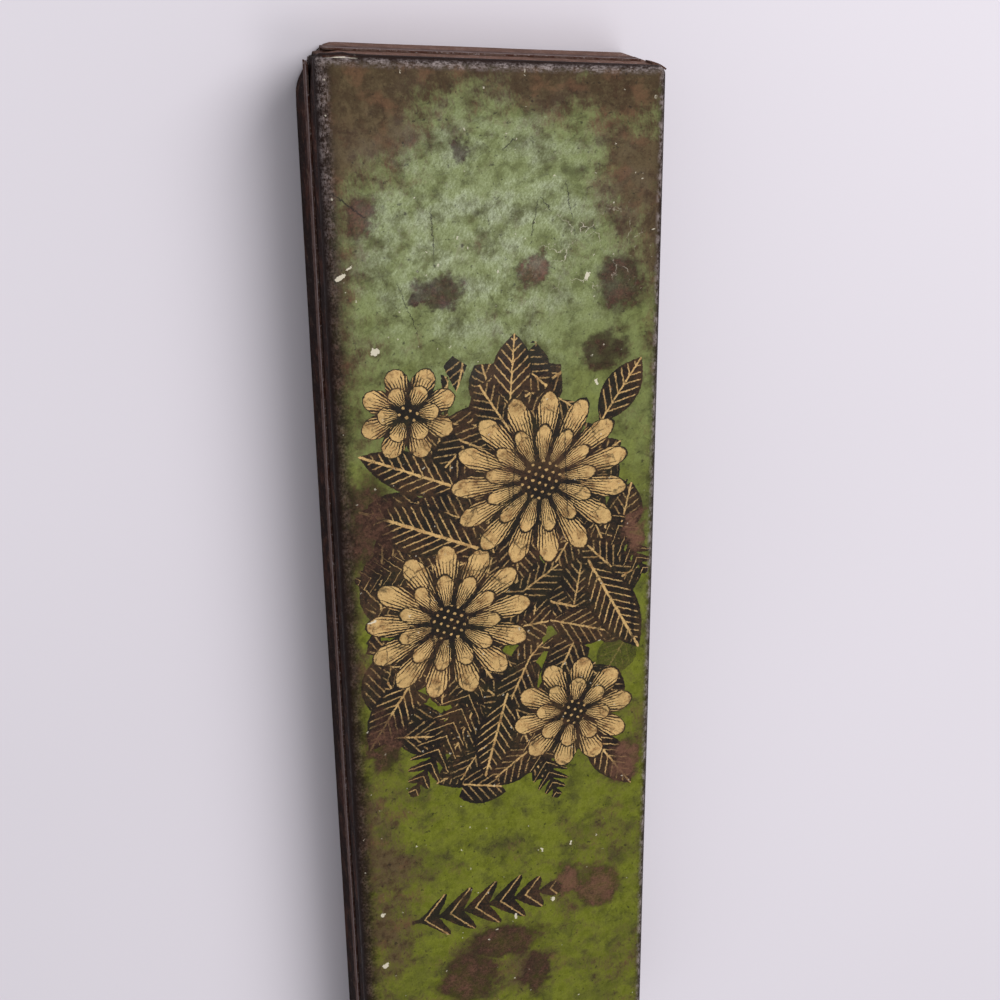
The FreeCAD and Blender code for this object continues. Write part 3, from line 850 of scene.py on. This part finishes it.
def flower(flat, centre_x, centre_y, radius, petals, turn):
    """A flower head seen from above, as (cover, light).

    Its petals are a scalloped circle: the edge falls back between petals with the square of the way from a
    petal's middle line. Two rings lie over each other, shaded by lines that run out from the middle.
    """
    offset = flat.vector("SUBTRACT", (centre_x, centre_y, 0))
    x, y = offset.parts()[:2]
    reach = offset.span() / radius
    angle = y.math("ARCTAN2", x) / (2 * math.pi)
    cover = None
    light = None
    for ring_size, count, shift in ((1.0, petals, turn), (0.64, petals - 2, turn + 0.4)):
        way = 1 - (angle * count + shift).math("PINGPONG", 0.5) * 2
        edge = (1 - way * way * 0.34) * ring_size
        inside = edge - reach
        mask = inside.smooth(0, 0.025)
        lines = (angle * (count * 9 * 2 * math.pi)).math("SINE") * 0.5 + 0.5
        shade = (1 - reach / ring_size) * 1.15 + way * way * 0.75
        pale = (lines + 1.0 - shade * 1.5).smooth(0.42, 0.72) * inside.smooth(0.02, 0.055)
        if cover is None:
            cover = mask
            light = pale
        else:
            light = light + mask * (pale - light)
    heart = (reach * -1 + 0.24).smooth(0, 0.03)
    seeds = ((x * 3.1 + y).math("SINE") * (y * 3.3 - x).math("SINE")).smooth(0.45, 0.8)
    light = light + heart * (seeds * 0.8 - light)
    return cover, light


def foliage(flat, pitch, start):
    """Scattered leaves, as (cover, light): each cell holds one lens-shaped leaf, turned its own way.

    A leaf is drawn only if its cell's middle lies inside the spray's outline, so none is cut off there.
    """
    shifted = flat.vector("ADD", (start, start, 0))
    middle = shifted.cells(1 / pitch, output="Position").vector("MULTIPLY", (1, 1, 0))
    chance = shifted.cells(1 / pitch, output="Color").along((1, 0, 0))
    turn = chance * (2 * math.pi)
    x, y = shifted.vector("SUBTRACT", middle).parts()[:2]
    cosine = turn.math("COSINE")
    sine = turn.math("SINE")
    reach = pitch * 1.35
    along = (x * cosine + y * sine) / reach + 0.5
    side = (y * cosine - x * sine).size() / reach
    inside = along * (1 - along) * 1.25 - side
    outline = middle.vector("SUBTRACT", (start, start + 11, 0)).vector("MULTIPLY", (1 / 24, 1 / 43, 0))
    within = outline.span().fall(0.98, 1.0)
    cover = inside.smooth(0, 0.03) * within
    veins = ((along - side * 1.1) * (reach * 3.4)).math("SINE")
    rib = side.fall(0.008, 0.02)
    light = (veins.smooth(0.5, 0.95) * 0.55 * inside.smooth(0.02, 0.08)).most(rib * 0.8)
    return cover, light


def axes(flat, start_x, start_y, stop_x, stop_y):
    """How far a place lies along a line and to its side, in shares of the line's length."""
    run_x = stop_x - start_x
    run_y = stop_y - start_y
    square = run_x**2 + run_y**2
    offset = flat.vector("SUBTRACT", (start_x, start_y, 0))
    along = offset.along((run_x / square, run_y / square, 0))
    side = offset.along((-run_y / square, run_x / square, 0)).size()
    return along, side, math.sqrt(square)


def leaf(flat, start_x, start_y, stop_x, stop_y, half_width):
    """A broad leaf, as (cover, light): a lens whose half width is a parabola, with slanting pale veins."""
    along, side, reach = axes(flat, start_x, start_y, stop_x, stop_y)
    edge = along * (1 - along) * (4 * half_width / reach)
    inside = edge - side
    cover = inside.smooth(0, 0.012)
    veins = ((along - side * 1.1) * (reach * 3.4)).math("SINE")
    rib = side.fall(0.006, 0.016)
    light = (veins.smooth(0.62, 0.95) * 0.75 * inside.smooth(0.01, 0.05)).most(rib)
    return cover, light


def frond(flat, start_x, start_y, stop_x, stop_y, leaflet, count):
    """A frond or sprig, as (cover, light): slanting leaflets of one lens shape, repeated up a thin stem."""
    along, side, reach = axes(flat, start_x, start_y, stop_x, stop_y)
    cell = ((along - side * 0.9) * count).math("FRACT")
    taper = along.smooth(-0.02, 0.25) * along.fall(0.72, 1.12)
    edge = cell * (1 - cell) * 4 * taper * (leaflet / reach)
    inside = edge - side
    within = along.smooth(-0.01, 0.0) * along.fall(1.0, 1.01)
    stem = side.fall(0.3 / reach, 0.55 / reach) * within
    cover = (inside.smooth(0, 0.25 / reach) * within).most(stem)
    light = (cell - 0.5).size().fall(0.02, 0.07) * 0.7
    return cover, light


def spot(warped, centre_x, centre_y, half_x, half_y):
    """A soft spot: 1 in its middle, falling to 0 round an ellipse that the warped places make ragged."""
    offset = warped.vector("SUBTRACT", (centre_x, centre_y, 0))
    offset = offset.vector("MULTIPLY", (1 / half_x, 1 / half_y, 0))
    return offset.span().fall(0.3, 1.3)


def scratch(flat, start_x, start_y, stop_x, stop_y, half_width):
    """A thin line between two places."""
    along, side, reach = axes(flat, start_x, start_y, stop_x, stop_y)
    within = along.smooth(0, 0.15) * along.fall(0.8, 1.0)
    return side.fall(half_width * 0.5 / reach, half_width * 1.5 / reach) * within


def lid_print_material(colours, size, wear):
    """The lid's print: a green field, paler towards the head, with a printed spray, stained, rusted and
    rubbed bare at the folds, with a painted sheen near the head and painted highlights along the folds.
    """
    material, shader, place = new_material("lid_print", specular=0.06)
    place = squared(place, size, wear)
    flat = place.vector("MULTIPLY", (1, 1, 0))
    x, y = place.parts()[:2]
    cloud = place.noise(0.05, 5, 0.55)
    blotch = place.noise(0.13, 6, 0.6)
    other_blotch = place.vector("ADD", (90, 40, 0)).noise(0.15, 6, 0.6)
    mottle = place.noise(0.4, 6, 0.68)
    patch = place.vector("ADD", (20, 60, 0)).noise(0.26, 6, 0.66)
    fine = place.noise(2.0, 4, 0.7)
    grit = place.noise(3.4, 3, 0.7)
    brush = place.stretched(0.15, 4).noise(3.0, 4, 0.7)
    cross = place.stretched(-0.6, 5).noise(3.2, 3, 0.65)
    wide = place.noise(0.24, 4, 0.6, output=1).vector("MULTIPLY_ADD", (8, 8, 0), (-4, -4, 0))
    narrow = place.noise(1.3, 4, 0.7, output=1).vector("MULTIPLY_ADD", (1.4, 1.4, 0), (-0.7, -0.7, 0))
    drawn = flat.vector("ADD", narrow.vector("MULTIPLY", (0.45, 0.45, 0)))
    jittered = flat.vector("ADD", narrow)
    warped = jittered.vector("ADD", wide)

    # Green field, paler and greyer towards the head, with a painted sheen there: pale streaky highlights in
    # the colour
    paler_to_head = (y + blotch.sway(70)).smooth(-6, 70)
    field = mottle.smooth(0.28, 0.72).blend(colours.deep_green, colours.lime_green)
    field = (paler_to_head * 0.95).blend(field, colours.sage_green)
    # Where the painted sheen lies, in patches near the head; the same mask also sets the real coat
    sheen = (0.35 + other_blotch.smooth(0.4, 0.62) * 0.9) * (1.3 - patch.smooth(0.38, 0.62) * 0.85)
    sheen = sheen * spot(flat, -2, 74, 27, 25)
    # Painted glints: fine pale streaks along which the painted sheen is strongest
    sheen_glints = (brush * 0.45 + cross * 0.35 + grit * 0.35).smooth(0.46, 0.7)
    field = (sheen * (0.08 + sheen_glints * 0.54)).clear().blend(field, colours.painted_sheen)

    # Printed spray, in rubbed and grainy ink
    free = drawn.along((0, 0, 0)) + 1
    light = drawn.along((0, 0, 0))
    for draw, rows in ((flower, FLOWERS), (leaf, LEAVES), (frond, FRONDS), (foliage, SCATTERS)):
        for row in rows:
            mask, pale = draw(drawn, *row)
            light = light + free * mask * pale
            free = free * (1 - mask)
    cover = 1 - free
    grain = grit.sway(1.3) + mottle.sway(0.6) + fine.sway(0.6)
    light = (light + grain).smooth(0.18, 0.95)
    black = (blotch + fine.sway(0.8)).smooth(0.42, 0.66).blend(colours.ink, colours.brown_ink)
    tan = (mottle + fine.sway(0.8)).smooth(0.46, 0.72).blend(colours.cream, colours.tan)
    tan = ((grit + mottle.sway(0.9)).smooth(0.6, 0.74) * 0.75).blend(tan, colours.brown_ink)
    cover = (cover + grit.sway(0.5) - fine.smooth(0.7, 0.78) * 0.6).smooth(0.3, 0.7)
    colour = cover.blend(field, light.blend(black, tan))

    # Olive freckles and a brown film, from the edges inwards and in clouds
    left = x + size.half_width
    right = size.half_width - x
    head = size.half_length - y
    foot = size.half_length + y
    rim = left.least(right).least(head).least(foot)
    bare = 1 - cover * 0.75
    freckle = mottle.smooth(0.5, 0.66) * 0.28 + patch.smooth(0.46, 0.66) * 0.45
    freckle = freckle + other_blotch.smooth(0.46, 0.64) * 0.4
    colour = (freckle.clear() * bare).blend(colour, colours.olive)
    arch = flat.vector("ADD", (1, -56, 0)).vector("MAXIMUM", (-90, 0, 0))
    arch = arch.vector("MULTIPLY", (1 / 28.5, 1 / 43, 0))
    film = arch.span().smooth(0.74, 1.18) * y.smooth(32, 68) * 0.98
    film = film + head.fall(1, 10) * 0.45 + left.fall(0.5, 14) * 0.55
    film = film + right.fall(0.5, 12) * 0.2
    film = film + foot.fall(10, 64) * 0.28
    for row in SMUDGES:
        film = film + spot(warped, *row) * 0.45
    clouds = cloud.sway(1.8) + blotch.sway(2.4) + mottle.sway(1.4) + brush.sway(1.5)
    film = (film + clouds).smooth(0.06, 1.2)
    tint = mottle + fine.sway(0.7) + head.fall(2, 14) * 0.12
    tint = tint.smooth(0.4, 0.68).blend(colours.stain, colours.rust)
    redder = place.vector("ADD", (30, 70, 0)).noise(0.2, 5, 0.6).smooth(0.5, 0.64)
    tint = (redder * 0.8).blend(tint, colours.red_stain)
    colour = (film * 0.92 * (1 - cover * 0.45)).blend(colour, tint)
    speck = place.noise(1.1, 3, 0.6).smooth(0.62, 0.72) * 0.65
    colour = (speck * bare).blend(colour, colours.ink)

    # Rust spots, grainy and ragged
    grainy = fine.sway(0.9) + mottle.sway(1.6) + grit.sway(0.5)
    spots = warped.along((0, 0, 0))
    redness = warped.along((0, 0, 0))
    for centre_x, centre_y, half_x, half_y, red in SPOTS:
        mask = spot(warped, centre_x, centre_y, half_x, half_y)
        spots = spots.most(mask)
        redness = redness.most(mask * red)
    spots = (spots + grainy * 0.55 * spots).smooth(0.06, 0.72)
    shade = (grainy + redness).smooth(0.0, 1.0)
    veil = 0.86 + mottle.sway(0.9)
    colour = (spots * veil.clear()).blend(colour, shade.blend(colours.dark_rust, colours.red_rust))
    rusty = (film * 0.7).most(spots)

    # Dark rims, brushed grain, crazing, scratches and flakes
    near = (left + mottle.sway(3) + fine.sway(2)).fall(1.2, 4.0)
    around = (rim + mottle.sway(2) + fine.sway(1.5)).fall(0.6, 2.2) * 0.7
    brown = (fine + (mottle - 0.5)).smooth(0.42, 0.75).blend(colours.lacquer, colours.rust)
    colour = (near.most(around) * 0.92).blend(colour, brown)
    tone = 0.06 + brush * 0.45 + cross * 0.35 + fine * 0.46 + grit * 0.5
    colour = colour.node("ShaderNodeMix", {"data_type": "RGBA", "blend_type": "MULTIPLY"},
                         {0: 1.0, 6: colour, 7: tone}, 2)
    lines = jittered.along((0, 0, 0))
    for row in SCRATCHES:
        lines = lines.most(scratch(jittered, *row) * 0.85)
    crazing = jittered.cells(0.26, "DISTANCE_TO_EDGE").fall(0.004, 0.04)
    lines = lines.most(crazing * patch.smooth(0.44, 0.56) * (0.25 + cover * light * 0.5))
    colour = lines.clear().blend(colour, colours.ink)
    nick = jittered.along((0, 0, 0))
    for centre_x, centre_y, half_x, half_y, slant in FLAKES:
        offset = jittered.vector("SUBTRACT", (centre_x, centre_y, 0))
        across = offset.along((math.cos(slant) / half_x, math.sin(slant) / half_x, 0))
        up = offset.along((-math.sin(slant) / half_y, math.cos(slant) / half_y, 0))
        nick = nick.most((across * across + up * up).fall(0.2, 1.4))
    nick = (nick * 1.4 + fine.sway(0.8)).smooth(0.35, 0.7)
    branch = warped.cells(0.17, "DISTANCE_TO_EDGE").fall(0.002, 0.022)
    nick = nick.most(branch * spot(flat, 16, 70, 10, 9) * patch.smooth(0.5, 0.58) * 0.8)
    pin = jittered.cells(0.6)
    chance = jittered.cells(0.6, output=1).along((1, 0, 0))
    nick = nick.most((pin / chance).fall(0.05, 0.14) * chance.smooth(0.74, 0.76) * 0.8)
    colour = (nick.clear() * 0.85).blend(colour, colours.chip)

    # Bare metal and painted highlights along the folds, streaked the way each fold runs
    along = place.stretched(0.05, 3).noise(4.5, 4, 0.75)
    athwart = place.stretched(math.pi / 2, 3).noise(4.5, 4, 0.75)
    shade = rim.fall(0.5, 1.3)
    colour = (shade * 0.92).blend(colour, colours.lacquer)
    high = y.smooth(58, 95)
    front_fold = left.fall(1.4, 3.0) * (0.12 + high * 0.6)
    front_fold = front_fold * (along * 0.5 + fine * 0.5).smooth(0.42, 0.62)
    ends = head.fall(1.0, 2.2).most(foot.fall(1.0, 2.2))
    ends = ends * (athwart * 0.5 + fine * 0.5).smooth(0.4, 0.62)
    hinge_fold = right.fall(0.8, 1.7) * (along * 0.6 + mottle * 0.4).smooth(0.44, 0.56) * 0.7
    # The fold bands paint both bare metal and the highlights on the bends
    bare_metal_and_highlight = front_fold.most(ends).most(hinge_fold)
    bare_metal_and_highlight = bare_metal_and_highlight * (0.15 + mottle.smooth(0.36, 0.62) * 0.8) * rim.smooth(0.25, 0.8)
    colour = (bare_metal_and_highlight.clear() * 0.85).blend(colour, colours.bare_metal_and_highlight)

    rough = 0.38 + rusty * 0.25 + brush.sway(0.3) + grit.sway(0.2)
    height = fine * 0.5 + brush * 0.6 + mottle * 0.7 + grit * 0.3
    connect(shader, Base_Color=colour, Roughness=rough.clear(), Normal=relief(height, 0.08 * MM),
            Coat_Weight=(sheen * 0.35).clear(), Coat_Roughness=0.35)
    return material


def lacquer_material(name, colours, size, wear, base):
    """Brown lacquer on the walls: near black, with redder rust clouds, scuffs, a rubbed lower edge, and a
    much lighter head end of brown rust and painted light.
    """
    material, shader, place = new_material(name, specular=0.03)
    place = squared(place, size, wear)
    y, z = place.parts()[1:]
    cloud = place.noise(0.12, 6, 0.65)
    mottle = place.noise(0.5, 6, 0.7)
    fine = place.noise(2.4, 4, 0.7)
    colour = (cloud + mottle.sway(0.6)).smooth(0.46, 0.72).blend(colours.lacquer, colours.lacquer_red)
    colour = (mottle.smooth(0.56, 0.72) * 0.6).blend(colour, colours.stain)
    # The head end wall is painted lighter: brown rust, and painted light where that wall faces the lamps
    end = y.smooth(size.half_length - 1.0, size.half_length - 0.3) * (0.85 + mottle.sway(1.8)).clear()
    colour = end.blend(colour, colours.head_rust_and_light)
    low = z.fall(0.2, 1.6) if base else z.fall(11.0, 12.4)
    ends = y.size().smooth(size.half_length - 3, size.half_length - 1) * 0.45
    scuff = (fine * 0.8 + mottle * 0.4).smooth(0.62, 0.8) * (low * 0.8 + ends + 0.2)
    colour = scuff.clear().blend(colour, colours.bare_metal_and_highlight)
    speck = place.noise(1.3, 2, 0.5).smooth(0.68, 0.74) * 0.5
    colour = speck.blend(colour, colours.red_rust)
    rough = 0.68 + mottle.sway(0.5) + scuff * 0.1
    height = mottle * 0.8 + fine * 0.4
    connect(shader, Base_Color=colour, Roughness=rough.clear(), Normal=relief(height, 0.09 * MM))
    return material


def hem_material(colours):
    """The hem: the sheet's rusty back, brown-grey and brighter towards its upper edge, partly where the fold
    has rubbed and partly a painted highlight.
    """
    material, shader, place = new_material("hem_rust", specular=0.04)
    z = place.parts()[2]
    mottle = place.noise(0.35, 6, 0.7)
    fine = place.noise(2.2, 4, 0.7)
    colour = (mottle + fine.sway(0.5)).smooth(0.4, 0.66).blend(colours.hem, colours.lacquer_red)
    colour = (mottle.smooth(0.55, 0.72) * 0.7).blend(colour, colours.lacquer)
    # Rubbed metal and a painted highlight along the hem's upper part
    rub_and_highlight = z.smooth(12.6, 14.2) * (fine * 0.6 + mottle * 0.5).smooth(0.46, 0.64)
    colour = (rub_and_highlight * 0.7).blend(colour, colours.bare_metal_and_highlight)
    rough = 0.65 + fine.sway(0.4)
    connect(shader, Base_Color=colour, Roughness=rough.clear(), Normal=relief(mottle + fine, 0.06 * MM))
    return material


def tin_material(name, colours, rust):
    """Dull tinplate: grey metal with a rolling grain along the tin, water stains and rust freckles."""
    material, shader, place = new_material(name)
    cloud = place.noise(0.06, 5, 0.6)
    mottle = place.noise(0.6, 6, 0.7)
    grain = place.vector("MULTIPLY", (1, 0.06, 1)).noise(4.0, 3, 0.6)
    stain = (cloud + mottle.sway(0.5) + (rust - 0.5) * 0.3).smooth(0.45, 0.68)
    colour = (stain * 0.55).blend(colours.tin, colours.stain)
    freckle = (mottle + (rust - 0.5) * 0.16).smooth(0.6, 0.7)
    colour = (freckle * 0.85).blend(colour, colours.red_rust)
    rough = 0.52 + stain * 0.16 + freckle * 0.25 + grain.sway(0.25)
    metal = 0.55 - freckle * 0.5 - stain * 0.3
    connect(shader, Base_Color=colour, Metallic=metal.clear(), Roughness=rough.clear(),
            Normal=relief(grain * 0.5 + mottle * (freckle + 0.2), 0.04 * MM))
    return material


def edge_material(colours):
    """Raw sheet edges: dark rust with bright nicks."""
    material, shader, place = new_material("raw_edge", specular=0.1)
    mottle = place.noise(0.8, 5, 0.7)
    colour = mottle.smooth(0.4, 0.6).blend(colours.lacquer_red, colours.hem)
    colour = (place.noise(1.7, 3, 0.6).smooth(0.58, 0.68) * 0.6).blend(colour, colours.bare_metal_and_highlight)
    connect(shader, Base_Color=colour, Roughness=0.6)
    return material


def slit_light_material(colours):
    """Painted light and glint through the tear, in the colours of bright, freshly torn tinplate."""
    material, shader, place = new_material("slit_light_glint")
    mottle = place.noise(1.6, 4, 0.6)
    colour = mottle.smooth(0.35, 0.65).blend(colours.bare_metal_and_highlight, colours.chip)
    connect(shader, Base_Color=colour, Roughness=0.4)
    return material


def wire_material(colours):
    """Drawn hinge wire: dull steel with fine lines along it and rust in patches."""
    material, shader, place = new_material("hinge_steel")
    mottle = place.noise(0.7, 5, 0.7)
    lines = place.vector("MULTIPLY", (1, 0.05, 1)).noise(9.0, 2, 0.5)
    rust = mottle.smooth(0.5, 0.66)
    colour = (rust * 0.8).blend(colours.steel, colours.red_rust)
    rough = 0.32 + rust * 0.35 + lines.sway(0.3)
    connect(shader, Base_Color=colour, Metallic=(0.9 - rust * 0.8).clear(), Roughness=rough.clear(),
            Normal=relief(lines * 0.4 + mottle * rust, 0.03 * MM))
    return material


def sheet_materials(colours, size, wear):
    """The lid's slots: outside, inside and edge of its print, its skirt, its hem, and the painted light in
    its tear.
    """
    inside = tin_material("lid_inside", colours, rust=0.55)
    edge = edge_material(colours)
    side = lacquer_material("lid_skirt", colours, size, wear, base=False)
    printed = lid_print_material(colours, size, wear)
    hem = hem_material(colours)
    slit_light = slit_light_material(colours)
    return [printed, inside, edge, side, inside, edge, side, hem, edge, slit_light, inside, edge]


def coat(names, material):
    """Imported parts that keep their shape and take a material."""
    for name in names:
        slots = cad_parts[name].data.materials
        slots.clear()
        slots.append(material)


def choices(scene):
    """Sizes and wear in millimetres, and the colours."""
    return millimetres(scene.tin_sizes), millimetres(scene.tin_wear), scene.tin_colours


class TIN_OT_lid(bpy.types.Operator):
    """Fold the lid from one sheet, with its hem, hinge curls, corner tabs and torn corner"""

    bl_idname = "tin.lid"
    bl_label = "Lid"

    def execute(self, context):
        size, wear, colours = choices(context.scene)
        mesh = lid_points(size, wear).mesh("lid_shell", lambda points: lid_wear(points, size, wear))
        materials = sheet_materials(colours, size, wear)
        piece = new_piece(mesh, "lid", materials, context.scene.tin_sizes.sheet)
        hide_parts("lid_cover")
        return {"FINISHED"}


class TIN_OT_base(bpy.types.Operator):
    """Fold the base from one sheet, with its hinge curls and inner corner tabs"""

    bl_idname = "tin.base"
    bl_label = "Base"

    def execute(self, context):
        size, wear, colours = choices(context.scene)
        mesh = base_points(size).mesh("base_shell", lambda points: base_wear(points, size, wear))
        outside = lacquer_material("base_lacquer", colours, size, wear, base=True)
        inside = tin_material("base_inside", colours, rust=0.6)
        materials = [outside, inside, edge_material(colours)]
        piece = new_piece(mesh, "base", materials, context.scene.tin_sizes.sheet)
        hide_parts("base_tray")
        return {"FINISHED"}


class TIN_OT_neck(bpy.types.Operator):
    """Set the head's neck strip against its wall, and give the other strips their tinplate"""

    bl_idname = "tin.neck"
    bl_label = "Neck strips"

    def execute(self, context):
        size, wear, colours = choices(context.scene)
        tin = tin_material("neck_tin", colours, rust=0.5)
        mesh = neck_points(size).mesh("head_neck", lambda points: racked(points, size, wear))
        piece = new_piece(mesh, "base", [tin, tin, tin], context.scene.tin_sizes.sheet)
        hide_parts("head_neck_strip")
        coat(("front_neck_strip", "foot_neck_strip"), tin)
        return {"FINISHED"}


class TIN_OT_hinge(bpy.types.Operator):
    """Give the hinge wires their steel"""

    bl_idname = "tin.hinge"
    bl_label = "Hinge wires"

    def execute(self, context):
        coat(("head_hinge_wire", "foot_hinge_wire"), wire_material(context.scene.tin_colours))
        return {"FINISHED"}


class TIN_OT_stage(bpy.types.Operator):
    """Lay the pale floor and set the lamps, the surroundings and the camera"""

    bl_idname = "tin.stage"
    bl_label = "Stage"

    def execute(self, context):
        scene = context.scene
        corners = FLOOR_REACH * np.array([[-1, -1, 0], [1, -1, 0], [1, 1, 0], [-1, 1, 0]])
        mesh = bpy.data.meshes.new("floor")
        mesh.from_pydata(corners.tolist(), [], [[0, 1, 2, 3]])
        floor = bpy.data.objects.new("floor", mesh)
        scene.collection.objects.link(floor)
        material, shader, place = new_material("floor_paper", specular=0.2)
        tone = place.noise(0.004, 2, 0.5).smooth(0.3, 0.7)
        shade = [channel * 0.95 for channel in scene.tin_colours.floor]
        connect(shader, Base_Color=tone.blend(shade, scene.tin_colours.floor), Roughness=0.7)
        mesh.materials.append(material)

        world = bpy.data.worlds.new("surroundings")
        world.use_nodes = True
        back = world.node_tree.nodes["Background"]
        back.inputs["Color"].default_value = WORLD_COLOUR
        back.inputs["Strength"].default_value = WORLD_STRENGTH
        scene.world = world

        for row in LAMPS:
            self.lamp(scene, *row)

        data = bpy.data.cameras.new("camera")
        data.sensor_width = 36.0
        data.lens = CAMERA_LENS
        data.clip_start = 0.01
        data.clip_end = 20.0
        camera = bpy.data.objects.new("camera", data)
        camera.rotation_mode = "ZXY"
        camera.location = CAMERA_PLACE
        camera.rotation_euler = [math.radians(angle) for angle in CAMERA_TURN]
        scene.collection.objects.link(camera)
        scene.camera = camera
        scene.view_settings.view_transform = "Standard"
        return {"FINISHED"}

    def lamp(self, scene, name, place, aim, width, power):
        """A square soft lamp that faces a point."""
        data = bpy.data.lights.new(name, "AREA")
        data.shape = "SQUARE"
        data.size = width
        data.energy = power
        data.color = LAMP_COLOUR
        lamp = bpy.data.objects.new(name, data)
        back = np.subtract(place, aim)
        lamp.location = place
        lamp.rotation_euler = (math.acos(back[2] / np.linalg.norm(back)), 0.0, math.atan2(back[0], -back[1]))
        scene.collection.objects.link(lamp)


class TIN_PT_panel(bpy.types.Panel):
    """Buttons, sizes and colours of the pencil tin"""

    bl_idname = "TIN_PT_panel"
    bl_label = "Pencil tin"
    bl_space_type = "VIEW_3D"
    bl_region_type = "UI"
    bl_category = "Pencil tin"

    def draw(self, context):
        for operator in OPERATORS:
            self.layout.operator(operator.bl_idname)
        for group in (context.scene.tin_sizes, context.scene.tin_wear, context.scene.tin_colours):
            box = self.layout.box()
            for name in group.__annotations__:
                box.prop(group, name)


OPERATORS = (TIN_OT_lid, TIN_OT_base, TIN_OT_neck, TIN_OT_hinge, TIN_OT_stage)
CLASSES = (TinSizes, TinWear, TinColours, *OPERATORS, TIN_PT_panel)


def register():
    for item in CLASSES:
        bpy.utils.register_class(item)
    bpy.types.Scene.tin_sizes = bpy.props.PointerProperty(type=TinSizes)
    bpy.types.Scene.tin_wear = bpy.props.PointerProperty(type=TinWear)
    bpy.types.Scene.tin_colours = bpy.props.PointerProperty(type=TinColours)


def unregister():
    del bpy.types.Scene.tin_sizes
    del bpy.types.Scene.tin_wear
    del bpy.types.Scene.tin_colours
    for item in reversed(CLASSES):
        bpy.utils.unregister_class(item)


def main():
    """Register the classes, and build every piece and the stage."""
    register()
    bpy.ops.tin.lid()
    bpy.ops.tin.base()
    bpy.ops.tin.neck()
    bpy.ops.tin.hinge()
    bpy.ops.tin.stage()
    bpy.context.view_layer.update()


if __name__ == "__main__":
    main()
